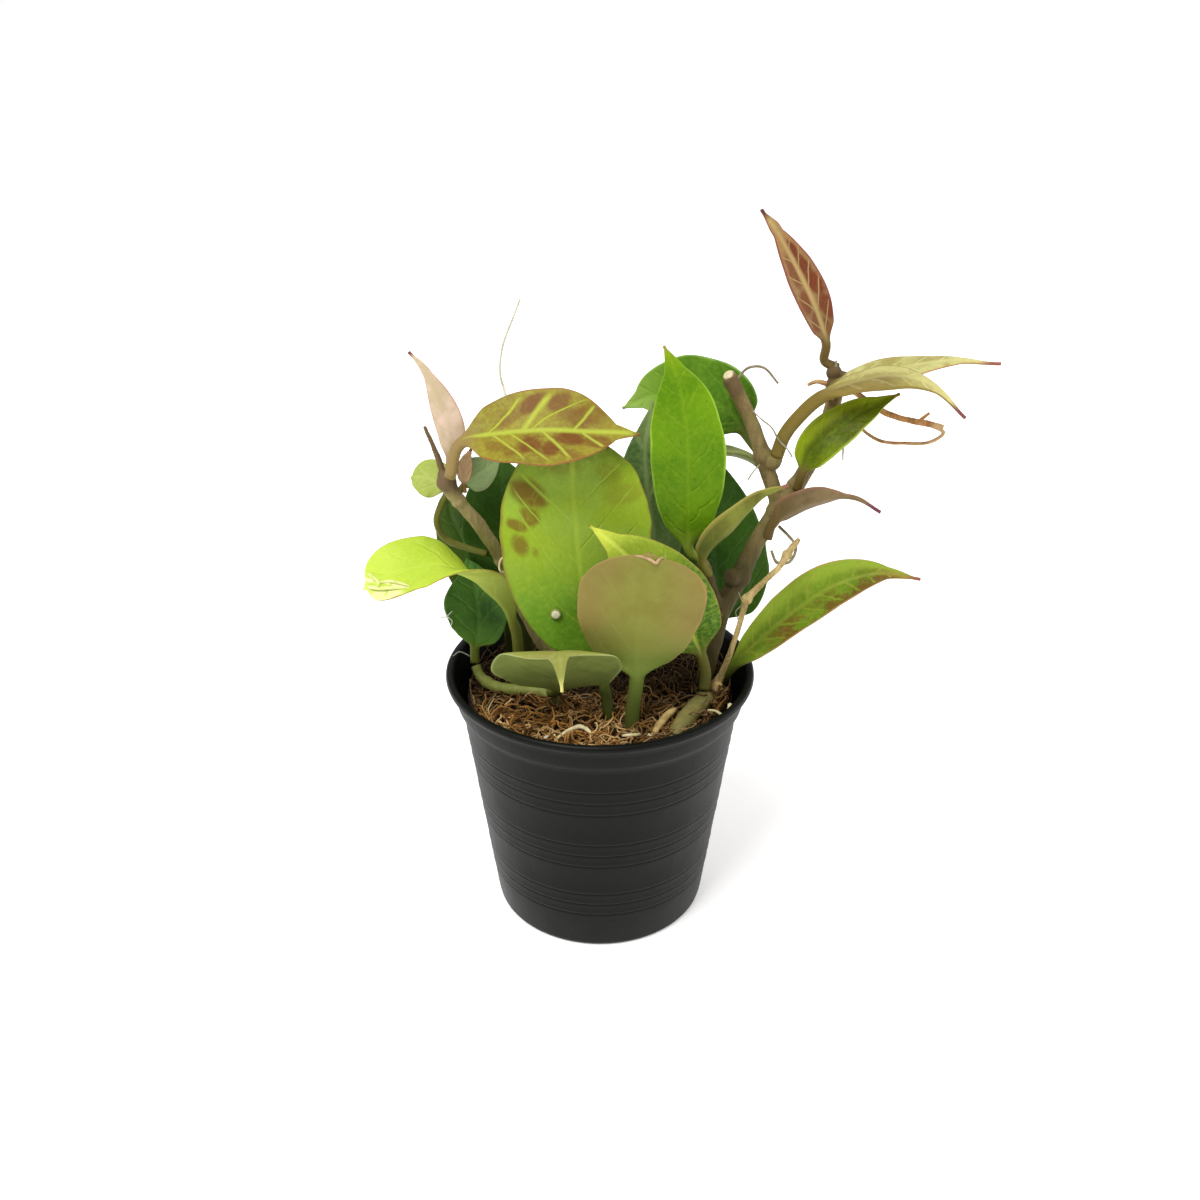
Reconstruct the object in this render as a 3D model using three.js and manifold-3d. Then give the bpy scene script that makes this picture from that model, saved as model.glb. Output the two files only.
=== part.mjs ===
// A small sunrise hoya, a climbing plant with thick pointed leaves, in a round black nursery pot.
// Millimetres, +Z up, +X to the right and +Y to the back of the plant.
// The origin is the centre of the pot's underside.
import * as THREE from 'three';
import { mergeVertices } from 'three/addons/utils/BufferGeometryUtils.js';
import Module from 'manifold-3d';

// Driving dimensions of the pot
const potHeight = 74.4;
const rimRadius = 42.5;
const wallTopRadius = 38.5;
const wallFootRadius = 30;
const wallThickness = 1.1;
const collarHeight = 9.4;
const lipWidth = 2;
const footHeight = 2;
const footWidth = 2.2;
const padRadius = 10;
const floorRise = 1.2;
const floorTop = 2.6;
const ringDepth = 0.35;
const ringHalfHeight = 0.5;
const ringGroups = [12.4, 30.6, 49.2];
const ringsPerGroup = 3;
const ringPitch = 3.9;
const potSides = 36;
const drainHoles = 6;
const drainHoleRadius = 2.6;
const drainCircle = 19;

// Driving dimensions of the mix in the pot and of the plant
const clearance = 0.3;
const mixHeight = 67;
const mixSides = 32;
const mixRings = 6;
const mixSlope = 0.06;
const bladeThickness = 1.3;
const edgeThickness = 0.8;
const tipHalfWidth = 0.4;
const stalkRadius = 1.5;

const wasm = await Module();
wasm.setup();

// Plain colours of the materials
const colours = {
  potBlack: 0x26282a,
  mixBrown: 0x4a3222,
  barkBrown: 0x6f5a42,
  barkOlive: 0x6b6236,
  dryTan: 0xb99a6a,
  rootTan: 0xa87a4d,
  limeGreen: 0xa9c545,
  leafGreen: 0x6f9d2e,
  brightGreen: 0x7fae2a,
  darkGreen: 0x2f5a2b,
  blueGreen: 0x6f9079,
  oliveGold: 0x9c9440,
  taupe: 0x8f8457,
  mauve: 0x85705f,
  pinkTan: 0xb9937c,
  reddish: 0x8f5239,
  paleYellow: 0xb5b56a,
  sage: 0x7f8f63,
};

function material(colour, roughness) {
  return new THREE.MeshStandardMaterial({ color: colour, roughness, metalness: 0 });
}

function namedMesh(name, geometry, colour, roughness = 0.55) {
  const mesh = new THREE.Mesh(geometry, material(colour, roughness));
  mesh.name = name;
  return mesh;
}

function vector(point) {
  return new THREE.Vector3(point[0], point[1], point[2]);
}

// Joining and cutting of closed solids
function toSolid(geometry) {
  const bare = geometry.clone();
  bare.deleteAttribute('normal');
  bare.deleteAttribute('uv');
  const merged = mergeVertices(bare, 1e-4);
  return new wasm.Manifold(new wasm.Mesh({
    numProp: 3,
    vertProperties: new Float32Array(merged.attributes.position.array),
    triVerts: new Uint32Array(merged.index.array),
  }));
}

function toGeometry(solid) {
  const mesh = solid.getMesh();
  const geometry = new THREE.BufferGeometry();
  geometry.setAttribute('position', new THREE.BufferAttribute(mesh.vertProperties, 3));
  geometry.setIndex(new THREE.BufferAttribute(mesh.triVerts, 1));
  geometry.computeVertexNormals();
  return geometry;
}

function join(geometries) {
  return toGeometry(geometries.map(toSolid).reduce((whole, next) => whole.add(next)));
}

function cut(geometry, cutters) {
  const left = cutters.map(toSolid).reduce((rest, next) => rest.subtract(next), toSolid(geometry));
  const bodies = left.decompose().sort((a, b) => b.volume() - a.volume());
  return toGeometry(bodies[0]);
}

// A closed skin over rings of points that follow each other, with a flat fan at both ends.
// flipped(k) tells where a quad is split along its other diagonal.
function skin(rings, flipped = () => false) {
  const sides = rings[0].length;
  const positions = [];
  const indices = [];
  for (const ring of rings) {
    for (const point of ring) positions.push(point.x, point.y, point.z);
  }
  for (let j = 0; j + 1 < rings.length; j += 1) {
    for (let k = 0; k < sides; k += 1) {
      const next = (k + 1) % sides;
      const a = j * sides + k;
      const b = j * sides + next;
      const c = a + sides;
      const d = b + sides;
      if (flipped(k)) indices.push(a, b, c, b, d, c);
      else indices.push(a, b, d, a, d, c);
    }
  }
  const addFan = (ringIndex, reversed) => {
    const centre = new THREE.Vector3();
    for (const point of rings[ringIndex]) centre.addScaledVector(point, 1 / sides);
    const hub = positions.length / 3;
    positions.push(centre.x, centre.y, centre.z);
    for (let k = 0; k < sides; k += 1) {
      const a = ringIndex * sides + k;
      const b = ringIndex * sides + (k + 1) % sides;
      if (reversed) indices.push(hub, b, a);
      else indices.push(hub, a, b);
    }
  };
  addFan(0, true);
  addFan(rings.length - 1, false);
  const geometry = new THREE.BufferGeometry();
  geometry.setAttribute('position', new THREE.Float32BufferAttribute(positions, 3));
  geometry.setIndex(indices);
  geometry.computeVertexNormals();
  return geometry;
}

// Points evenly round a circle, each made from its angle
function ringOf(count, pointAt) {
  return Array.from({ length: count }, (_, k) => pointAt((k / count) * 2 * Math.PI));
}

// A round stem along points [x, y, z, radius], which swells and thins with them.
// grow widens it and pushes out its ends, for the groove or hole that the stem lies in.
function stem(points, { sides = 8, steps = 3, grow = 0 } = {}) {
  const curve = new THREE.CatmullRomCurve3(points.map(vector), false, 'centripetal');
  const spans = points.length - 1;
  const count = spans * steps;
  const { tangents, normals, binormals } = curve.computeFrenetFrames(count, false);
  const rings = [];
  for (let i = 0; i <= count; i += 1) {
    const place = curve.getUtoTmapping(i / count) * spans;
    const low = Math.min(Math.floor(place), spans - 1);
    const radius = THREE.MathUtils.lerp(points[low][3], points[low + 1][3], place - low) + grow;
    const centre = curve.getPointAt(i / count);
    if (i === 0) centre.addScaledVector(tangents[i], -grow);
    if (i === count) centre.addScaledVector(tangents[i], grow);
    rings.push(ringOf(sides, (angle) => centre.clone()
      .addScaledVector(normals[i], Math.cos(angle) * radius)
      .addScaledVector(binormals[i], Math.sin(angle) * radius)));
  }
  return skin(rings);
}

// Half-width of a blade, from 0 to 1, at the fraction s of its length.
// The body is an oval that is widest at fullest, and a narrow drip tip runs on from it.
// A small shoulder makes a round base, and a small taper a round tip.
function bladeOutline(s, { fullest, tip, shoulder, taper }) {
  const x = Math.min(s / (1 - tip * 0.6), 1);
  const rise = x < fullest ? x / fullest : (1 - x) / (1 - fullest);
  const body = Math.sin((Math.PI / 2) * rise) ** (x < fullest ? shoulder : taper);
  const drip = 0.32 * Math.min(1, (1 - s) / (tip * 1.2)) * THREE.MathUtils.smoothstep(s, 0.1, 0.4);
  return Math.max(body, drip);
}

// Face direction at the fraction s of a blade, between the directions listed from base to tip
function faceAt(faces, s) {
  const place = s * (faces.length - 1);
  const low = Math.min(Math.floor(place), Math.max(faces.length - 2, 0));
  const high = Math.min(low + 1, faces.length - 1);
  return vector(faces[low]).normalize().lerp(vector(faces[high]).normalize(), place - low).normalize();
}

const acrossSteps = [-1, -0.55, 0, 0.55, 1];
const bladeStations = [0, 0.03, 0.09, 0.18, 0.3, 0.43, 0.56, 0.68, 0.79, 0.88, 0.94, 1];

// The places along a leaf where it has a ring: t on its whole path, s on its blade
function leafStations(stalk, rib, stalkOnly) {
  const spans = stalk.length + rib.length - 1;
  const stalkSteps = stalk.length * 2;
  const onStalk = Array.from({ length: stalkSteps }, (_, i) => (
    { t: (i / stalkSteps) * (stalk.length / spans), s: 0 }
  ));
  const onBlade = bladeStations.map((s) => ({ t: (stalk.length + s * (rib.length - 1)) / spans, s }));
  return stalkOnly ? onStalk : [...onStalk, ...onBlade];
}

// A leaf is one loft: a round stalk that flattens into a thick blade with a crease and a drip tip.
// stalk and rib are points, the rib's from the blade's base to its tip; face is where its upper side looks.
// fold and cup lift the two halves, as a part of the half-width; the fold opens out to foldTip at the tip.
function leaf(shape, { grow = 0, stalkOnly = false } = {}) {
  const { stalk, rib, face, width, fold = 0.12, foldTip = fold, cup = 0.12 } = shape;
  const { fullest = 0.42, tip = 0.16, shoulder = 0.6, taper = 0.9 } = shape;
  const radius = (shape.radius ?? stalkRadius) + grow;
  const curve = new THREE.CatmullRomCurve3([...stalk, ...rib].map(vector), false, 'centripetal');
  const perSide = acrossSteps.length;
  const rings = leafStations(stalk, rib, stalkOnly).map(({ t, s }, i) => {
    const centre = curve.getPoint(t);
    const along = curve.getTangent(t);
    if (i === 0) centre.addScaledVector(along, -grow);
    const side = new THREE.Vector3().crossVectors(along, faceAt(face, s)).normalize();
    const up = new THREE.Vector3().crossVectors(side, along);
    const flatness = THREE.MathUtils.smoothstep(s, 0, 0.15);
    const least = THREE.MathUtils.lerp(radius, tipHalfWidth, THREE.MathUtils.smoothstep(s, 0, 0.5));
    const half = Math.max((width / 2) * bladeOutline(s, { fullest, tip, shoulder, taper }), least);
    const tilt = Math.atan(THREE.MathUtils.lerp(fold, foldTip, s));
    return Array.from({ length: perSide * 2 }, (_, k) => {
      const onTop = k < perSide;
      const across = acrossSteps[onTop ? k : perSide * 2 - 1 - k];
      const angle = Math.PI * (1 - (k + 0.5) / perSide);
      const edge = Math.abs(across);
      const thickness = THREE.MathUtils.lerp(bladeThickness, edgeThickness, edge) * (1 - 0.25 * s);
      const offset = (onTop ? 0.5 : -0.5) * thickness;
      const flatX = across * half * Math.cos(tilt) - Math.sign(across) * Math.sin(tilt) * offset;
      const flatZ = half * edge * (Math.sin(tilt) + cup * edge) + Math.cos(tilt) * offset;
      const x = THREE.MathUtils.lerp(Math.cos(angle) * radius, flatX, flatness);
      const z = THREE.MathUtils.lerp(Math.sin(angle) * radius, flatZ, flatness);
      return centre.clone().addScaledVector(side, x).addScaledVector(up, z);
    });
  });
  return skin(rings, (k) => k >= perSide);
}

// Outer radius of the tapered wall
function wallRadius(z) {
  return THREE.MathUtils.mapLinear(z, 0, potHeight - collarHeight, wallFootRadius, wallTopRadius);
}

// Half of the pot's section: from the axis at the bottom, round the outside and back over the inside.
// Under it lie a round pad and a foot ring; each ring on the wall is a shallow groove.
function potProfile() {
  const collarBottom = potHeight - collarHeight;
  const footInside = wallFootRadius - footWidth;
  const insideTop = wallTopRadius - wallThickness;
  const insideFoot = wallFootRadius - wallThickness;
  const grooves = ringGroups.flatMap((lowest) => (
    Array.from({ length: ringsPerGroup }, (_, i) => lowest + i * ringPitch)
  ));
  const points = [
    [0, 0], [padRadius, 0], [padRadius + 2, floorRise],
    [footInside - 1.5, floorRise], [footInside, 0], [wallFootRadius - 0.8, 0],
    [wallFootRadius - 0.1, 0.8], [wallFootRadius + 0.2, footHeight],
    ...grooves.flatMap((z) => [
      [wallRadius(z - ringHalfHeight), z - ringHalfHeight],
      [wallRadius(z) - ringDepth, z],
      [wallRadius(z + ringHalfHeight), z + ringHalfHeight],
    ]),
    [wallTopRadius, collarBottom], [wallTopRadius + 1.1, collarBottom + 0.8],
    [rimRadius - 2.1, potHeight - 3.6], [rimRadius - 0.4, potHeight - 2.5],
    [rimRadius, potHeight - 1.3], [rimRadius - 0.5, potHeight - 0.3],
    [rimRadius - lipWidth / 2, potHeight], [rimRadius - lipWidth, potHeight - 0.3],
    [rimRadius - lipWidth - 0.5, potHeight - 1.5], [insideTop + 0.6, collarBottom + 0.5],
    [insideTop, collarBottom - 1], [insideFoot, floorTop + 0.8], [insideFoot - 1, floorTop], [0, floorTop],
  ];
  return points.map(([r, z]) => new THREE.Vector2(r, z));
}

function potGeometry() {
  const body = new THREE.LatheGeometry(potProfile(), potSides);
  body.rotateX(Math.PI / 2);
  const drills = ringOf(drainHoles, (angle) => {
    const drill = new THREE.CylinderGeometry(drainHoleRadius, drainHoleRadius, floorTop * 3, 10);
    drill.rotateX(Math.PI / 2);
    drill.translate(drainCircle * Math.cos(angle), drainCircle * Math.sin(angle), floorTop / 2);
    return drill;
  });
  return cut(body, drills);
}

// Height of the mix: lumpy, and heaped up toward the front
function mixTop(x, y) {
  const lumps = 0.7 * Math.sin(x * 0.45 + 1) * Math.cos(y * 0.38) + 0.5 * Math.sin(x * 0.9 - y * 0.7);
  return mixHeight - y * mixSlope + lumps;
}

function mixGeometry(cutters) {
  const bottom = floorTop + clearance;
  const insideRadius = (z) => wallRadius(z) - wallThickness - clearance;
  const flatRing = (radius, z) => ringOf(mixSides, (angle) => (
    new THREE.Vector3(radius * Math.cos(angle), radius * Math.sin(angle), z)
  ));
  const topRadius = insideRadius(mixHeight - 4) - 0.2;
  const rings = [
    flatRing(insideRadius(bottom) - 2, bottom),
    flatRing(insideRadius(bottom) - 0.4, bottom + 1.5),
  ];
  for (let i = 0; i < mixRings; i += 1) {
    const ring = flatRing(topRadius * (1 - i / mixRings), 0);
    for (const point of ring) point.z = mixTop(point.x, point.y);
    rings.push(ring);
  }
  return cut(skin(rings), cutters);
}

// Stems, twigs and roots: points [x, y, z, radius]
const rightStem = [
  [28.3, 0, 60, 2.4], [28.6, 0, 66.5, 2.4], [31, 2, 77.5, 2.3], [33.5, 4, 88.5, 2.4], [38, 7, 97.5, 2.8],
  [42.5, 9, 107, 2.4], [47.5, 11, 115, 2.6], [53, 13, 122.5, 2.3], [58, 17, 130, 2.1], [61.5, 19, 140, 2],
  [63, 21, 148, 2.3], [63, 21.5, 151, 1.9],
];
const rightBranch = [
  [48.5, 11.5, 116, 2.2], [46, 13, 123.5, 2.2], [43.3, 13.5, 130.5, 2.3], [41.4, 14, 136, 2.1],
  [37.8, 15, 144, 2.1], [33.8, 16, 151.3, 2.2],
];
const rightStub = [[38, 7, 97.5, 2.4], [36, 4.5, 99, 2.4], [34.5, 3.5, 99.5, 2]];
const centreShoot = [
  [33.5, 4, 88.5, 1.6], [30.5, 1.5, 96.5, 1.4], [28.5, -0.5, 103, 1.6], [27.5, -1, 106, 1.3],
];
const leftStem = [
  [-11.5, 8, 61, 1.7], [-11.5, 8, 68.5, 1.7], [-17, 7, 78, 1.7], [-22, 6, 90, 1.7], [-26.5, 4, 104, 1.8],
  [-31.8, 1, 115.8, 1.8], [-36.2, -1, 122.9, 1.7], [-39.5, -2, 129, 2.3], [-40, -2, 132, 1.6],
];
const leftTwig = [[-39.5, -2, 129, 1], [-41.2, -2.5, 136, 0.8], [-44, -3, 144.5, 0.5]];
const lyingRight = [
  [29.4, -7.8, 63, 2.2], [29.2, -8.8, 68.2, 2.5], [27, -13.1, 69.5, 2.7], [23.9, -18.9, 69.6, 2.7],
  [20.4, -25, 68.6, 2.5], [18.3, -28, 65, 2.3],
];
const lyingLeft = [
  [-34.3, -0.6, 74.2, 1.3], [-33.4, -1.9, 72, 1.4], [-31, -4, 70.6, 1.6], [-27, -6.4, 70.3, 1.6],
  [-19, -8.5, 70.8, 1.6], [-14, -9.5, 70.2, 1.6], [-10.5, -10.5, 66, 1.6],
];
const dryTwig = [
  [31.8, -4.6, 63, 1.2], [31.9, -4.8, 70, 1.7], [33.2, -5.6, 74.3, 0.9], [35.3, -6.5, 82, 0.85],
  [36.8, -7.2, 89, 0.8], [38.1, -7.8, 96, 0.85], [38.6, -8, 98.3, 1.2], [42.6, -7.5, 102.9, 0.85],
  [47, -6, 107, 0.8], [49, -4, 109.4, 1.2], [52, -3, 113.6, 0.6],
];

// Aerial roots, each a thin bare thread that grows from a stem
const aerialRoots = {
  aerial_root_right: [
    [[65.7, 21, 146.9, 0.8], [71, 21.5, 143.5, 0.8], [76.5, 21, 140, 0.8], [83.5, 20, 138, 0.8],
      [88, 19, 137.5, 0.9], [92, 18, 137, 0.6]],
    [[85.5, 19.5, 138, 0.5], [88, 19, 140.5, 0.4]],
    [[88, 19, 137.5, 0.6], [92, 17.5, 135.5, 0.5], [88.5, 17, 133, 0.5], [82, 17.5, 132.5, 0.5],
      [75.5, 18, 133, 0.5], [70.5, 19, 136, 0.5], [67.5, 20, 141, 0.5]],
  ],
  aerial_root_stub: [
    [[60.3, 20.5, 148.2, 0.7], [57.5, 21, 148.6, 0.6], [55.2, 21, 147.6, 0.5]],
  ],
  aerial_root_branch: [
    [[35.5, 18.6, 149, 0.4], [38.8, 19, 152.8, 0.35], [42.8, 18, 153.3, 0.35], [46.8, 17, 149.3, 0.3]],
  ],
  aerial_root_twig: [
    [[48.4, 9.25, 111.8, 0.4], [50.6, 6, 110.5, 0.4], [52.5, 4.2, 108, 0.4], [51, 2.5, 104.5, 0.4],
      [47.5, 3, 104, 0.4], [46, 4, 107, 0.35]],
  ],
  aerial_root_left: [
    [[-23.6, -0.7, 151.9, 0.35], [-25, 2, 157.1, 0.3], [-24.1, 3, 163.5, 0.3], [-21.4, 3, 170.3, 0.3],
      [-19.5, 3, 175, 0.3]],
  ],
};

// Leaves. Points run from the stem or the mix to the tip.
const leaves = {
  leaf_top_right: {
    colour: colours.reddish, width: 9.3, face: [[0.2, -0.9, 0.3]], fold: 0.25, radius: 1.2,
    stalk: [[62.7, 21.3, 152.35], [59.2, 20.8, 154.2]],
    rib: [[58.9, 18.7, 159.3], [55.3, 17, 168.5], [49.7, 16, 179], [44.5, 14, 187.5], [39.5, 12, 194.5]],
    tip: 0.12, taper: 1.15, fullest: 0.4,
  },
  leaf_arching_front: {
    colour: colours.paleYellow, width: 10.6, face: [[0, -0.3, 0.95]], radius: 1.8,
    stalk: [[46.85, 11.85, 131], [48.6, 11.5, 137], [52.3, 11.2, 142.5]],
    rib: [[57, 10.5, 147.4], [66.5, 9, 152.2], [76.5, 8, 153.7], [85.5, 7, 151.2], [94, 6, 143.6]],
    tip: 0.2, taper: 1, fold: 0.04, cup: -0.05,
  },
  leaf_arching_back: {
    colour: colours.paleYellow, width: 10.4, face: [[0, -0.35, 0.93]], shoulder: 0.9,
    stalk: [[60.3, 16.4, 145.8]],
    rib: [[62, 15.5, 149.2], [71, 19.6, 150.6], [82.5, 21.2, 152.6], [93.5, 18.4, 154.9], [104.2, 15.5, 155.2]],
    tip: 0.25, taper: 1, fold: 0.04, cup: -0.05,
  },
  leaf_hanging_right: {
    colour: colours.leafGreen, width: 11.3, face: [[-0.2, -0.75, 0.6]], radius: 1.3,
    stalk: [[52.5, 9.05, 122.5]],
    rib: [[53.5, 9, 127], [56.5, 9.5, 133.8], [63.5, 10.5, 140.2], [71.2, 11.5, 144.8], [78, 12.5, 147.9]],
  },
  leaf_small_mauve: {
    colour: colours.mauve, width: 11.4, face: [[0, 0.8, 0.6]], radius: 1.3,
    stalk: [[45, 5.9, 109.8]],
    rib: [[46.2, 5.8, 114.3], [51.5, 6.2, 118.2], [60, 5.5, 121.6], [67.5, 4, 122.2], [74, 3, 118.7]],
    tip: 0.5, shoulder: 0.5, taper: 1, fullest: 0.4,
  },
  leaf_bright_upright: {
    colour: colours.brightGreen, width: 19.4, face: [[-0.05, -0.95, 0.3]], radius: 1.3,
    stalk: [[26.9, -1.15, 106.9]],
    rib: [[23.6, -2, 109.6], [22.8, -2, 122], [22.4, -1, 137], [20.8, 1, 149.5], [18.6, 4, 157], [16, 6, 162.5]],
    tip: 0.2, fullest: 0.44, shoulder: 0.7, taper: 1,
  },
  leaf_narrow_folded: {
    colour: colours.paleYellow, width: 10.8, face: [[-0.5, 0.75, 0.45]], radius: 1.2,
    stalk: [[28.6, -3.55, 103.6]],
    rib: [[26.5, -6.3, 109], [29.5, -8, 115.4], [35.5, -7, 121.3], [41.7, -3.5, 125.8], [48.6, 1, 127.2]],
    tip: 0.2, taper: 1,
  },
  leaf_lower_right: {
    colour: colours.leafGreen, width: 13.5, face: [[-0.35, -0.65, 0.6]], fold: 0.2, fullest: 0.55,
    stalk: [[33.8, 1, 61], [34, 0, 68]],
    rib: [
      [35.8, -1.4, 73.2], [44.5, -2, 83.5], [54, -2, 93], [64, -3.5, 100.9], [74, -5, 104.5], [84, -7, 103.8],
    ],
    tip: 0.18, taper: 0.95,
  },
  leaf_round_back: {
    colour: colours.leafGreen, width: 22, face: [[0, -0.85, 0.5]],
    stalk: [[42.8, 17.1, 130.5]],
    rib: [[39.5, 21, 134], [33.5, 22, 141], [24, 23, 144], [14.5, 22, 144.5], [6, 20, 141.5]],
    fullest: 0.45, taper: 0.7,
  },
  leaf_pale_back: {
    colour: colours.paleYellow, width: 11, face: [[0, 0.2, 1]], radius: 1,
    stalk: [[46, 16.1, 122]],
    rib: [[43.5, 19, 125.6], [38, 19.4, 128.2], [32.5, 19.2, 129.2], [25, 18.2, 129.4]],
  },
  leaf_dark_back: {
    colour: colours.darkGreen, width: 29, face: [[0, -0.95, 0.2]],
    stalk: [[28, 14, 61], [30, 15, 69]],
    rib: [[32, 16.4, 78], [33.5, 18.6, 88], [31.5, 20.8, 105], [29, 22.8, 121], [27, 24.8, 135.5]],
  },
  leaf_blue_green: {
    colour: colours.blueGreen, width: 16, face: [[0, -0.95, 0.2]],
    stalk: [[14, 12, 61], [15, 12, 72]],
    rib: [[17, 13, 87.5], [15, 13, 106], [12.5, 13, 123.5], [12, 14, 134.5], [14, 15, 145]],
  },
  leaf_flat_top_left: {
    colour: colours.oliveGold, width: 22.2, face: [[0, -0.64, 0.77]],
    stalk: [[-38.1, -4.8, 131.5]],
    rib: [[-35, -5.4, 140.6], [-23, -7, 143.9], [-11, -8.6, 145.1], [0, -9.2, 144.9], [10, -9, 144.4]],
    tip: 0.2, fullest: 0.52, shoulder: 0.55, taper: 0.75,
  },
  leaf_pink_upright: {
    colour: colours.pinkTan, width: 7.8, face: [[0.1, 0.95, -0.15]], radius: 1.1,
    stalk: [[-38.9, 0.95, 130.6]],
    rib: [[-38.6, 1.4, 133.2], [-38.2, 1.6, 141.5], [-40.6, 2, 150], [-44, 2.5, 157.5], [-47.6, 3, 161.8]],
    fullest: 0.35, tip: 0.25, taper: 1.4,
  },
  leaf_small_lime: {
    colour: colours.limeGreen, width: 11, face: [[0, -0.7, 0.7]], radius: 0.9,
    stalk: [[-30.2, 3, 106.5], [-35.5, 5.5, 107], [-41.5, 6, 109.5], [-43.5, 5, 115], [-42, 5.5, 120]],
    rib: [[-40.5, 5.5, 123.3], [-42.5, 6.3, 125.2], [-46, 7, 126.6], [-50, 8, 126.4]],
    taper: 0.45, tip: 0.05, fullest: 0.5,
  },
  leaf_small_grey: {
    colour: colours.sage, width: 10, face: [[0, -0.7, 0.7]], radius: 0.9,
    stalk: [[-37.5, 1.25, 123.5]],
    rib: [[-36, 5, 125], [-33, 6.5, 127], [-29.5, 8, 129], [-25.5, 9, 132]],
    taper: 0.7,
  },
  leaf_dry_scale: {
    colour: colours.dryTan, width: 4, face: [[0.2, -0.9, 0.3]], radius: 0.5,
    stalk: [[-34.8, -1.5, 126]],
    rib: [[-35, -1.3, 128], [-34.8, -1, 131.5], [-34, -0.8, 135], [-32.8, -0.8, 137.5]],
    tip: 0.1,
  },
  leaf_dark_left_a: {
    colour: colours.darkGreen, width: 24, face: [[0, -0.95, 0.2]],
    stalk: [[-20, 12, 61], [-20.3, 11.8, 70]],
    rib: [[-21, 11.5, 79], [-23, 11.5, 92], [-25, 12, 107], [-26.5, 13, 120], [-26.5, 14.5, 131]],
    fullest: 0.55, tip: 0.08, taper: 0.55,
  },
  leaf_dark_left_b: {
    colour: colours.darkGreen, width: 17, face: [[0, -0.95, 0.2]],
    stalk: [[-26, 17, 61], [-26, 17, 70]],
    rib: [[-27, 17, 80], [-32, 17, 91], [-37, 17, 102], [-41, 17, 112], [-41, 17, 121]],
  },
  leaf_large_centre: {
    colour: colours.leafGreen, width: 39, face: [[0.1, -0.95, 0.25]], fold: 0.06, cup: 0.05,
    stalk: [[2.5, -20, 60], [2.3, -20, 69], [1.5, -17, 75.5]],
    rib: [[0, -14, 81.5], [-3, -13, 95], [-5.5, -11, 108.5], [-6.5, -8, 122.5], [-7, -5, 135], [-7, -3, 144]],
    fullest: 0.54, tip: 0.06, taper: 0.5,
  },
  leaf_round_front: {
    colour: colours.taupe, width: 32.5, face: [[0, 0.95, -0.2]], radius: 1.9, fold: 0.04, cup: 0.03,
    stalk: [[8.3, -24, 60], [8.5, -23, 73]],
    rib: [[9.5, -22.5, 82.5], [9.5, -22.5, 91], [10, -22, 100.5], [11.5, -21.5, 110.5], [12.5, -21.5, 118]],
    fullest: 0.64, tip: 0.06, taper: 0.42,
  },
  leaf_low_front: {
    colour: colours.sage, width: 33, face: [[0, 0.78, 0.62], [0, 0.78, 0.62], [0, 0.2, 1], [0, -0.98, 0.1]],
    stalk: [[-13.1, -10.7, 71.5]], fold: 0.08, cup: -0.12,
    rib: [
      [-11, -15.5, 75.5], [-11, -19, 80], [-11, -24, 86.5], [-10.5, -30, 94.5], [-10, -33.5, 94],
      [-9.5, -34, 85.5],
    ],
    fullest: 0.62, tip: 0.45, taper: 0.5,
  },
  leaf_behind_round: {
    colour: colours.leafGreen, width: 22, face: [[0.1, -0.9, 0.3]], cup: 0.05,
    stalk: [[28.2, -10.4, 72.12], [28.6, -8.4, 76]],
    rib: [[27.5, -7, 80.5], [22, -11, 94], [13.5, -14.5, 107], [5, -16.5, 117], [-2.5, -17.5, 123.5]],
    tip: 0.2,
  },
  leaf_curling_lime: {
    colour: colours.limeGreen, width: 21.5, fold: 0.4, foldTip: 0.1, cup: 0.05,
    face: [
      [0.6, 0.8, 0], [0.5, 0.8, 0.3], [0.3, 0.65, 0.7], [0.1, 0.25, 1], [0, -0.3, 0.95], [-0.2, -0.45, 0.85],
      [-0.4, -0.6, 0.7],
    ],
    stalk: [[-22, 0.5, 61], [-22.5, 0.5, 74]],
    rib: [
      [-23, -1.5, 86], [-26.5, -5, 96], [-33, -6.5, 103.5], [-42, -8.5, 107.8], [-52, -10, 107],
      [-61.5, -11, 103],
    ],
    fullest: 0.6, tip: 0.04, shoulder: 1.2, taper: 0.3,
  },
  leaf_dark_lower_left: {
    colour: colours.darkGreen, width: 17.5, face: [[0, -0.95, 0.3]], radius: 1.3,
    stalk: [[-34.6, -0.1, 74.8]],
    rib: [[-34.6, 1.2, 78.3], [-33.5, 2.5, 84], [-33.7, 3.8, 91.5], [-34.5, 4.6, 98.5], [-36, 5.3, 104]],
    tip: 0.1, fullest: 0.55,
  },
};

const stems = {
  right_stem: join([stem(rightStem), stem(rightBranch), stem(rightStub), stem(centreShoot)]),
  left_stem: join([stem(leftStem), stem(leftTwig, { sides: 6 })]),
};
const lyingStems = { lying_stem_right: stem(lyingRight), lying_stem_left: stem(lyingLeft) };

// What stands or lies in the mix gets a plain hole or groove of its own size there
const sunkStems = [rightStem, leftStem, lyingRight, lyingLeft, dryTwig];
const sunkLeaves = Object.values(leaves).filter((shape) => shape.stalk[0][2] < mixHeight);
const cutters = [
  ...sunkStems.map((points) => stem(points, { grow: clearance })),
  ...sunkLeaves.map((shape) => leaf(shape, { grow: clearance, stalkOnly: true })),
];

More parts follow.
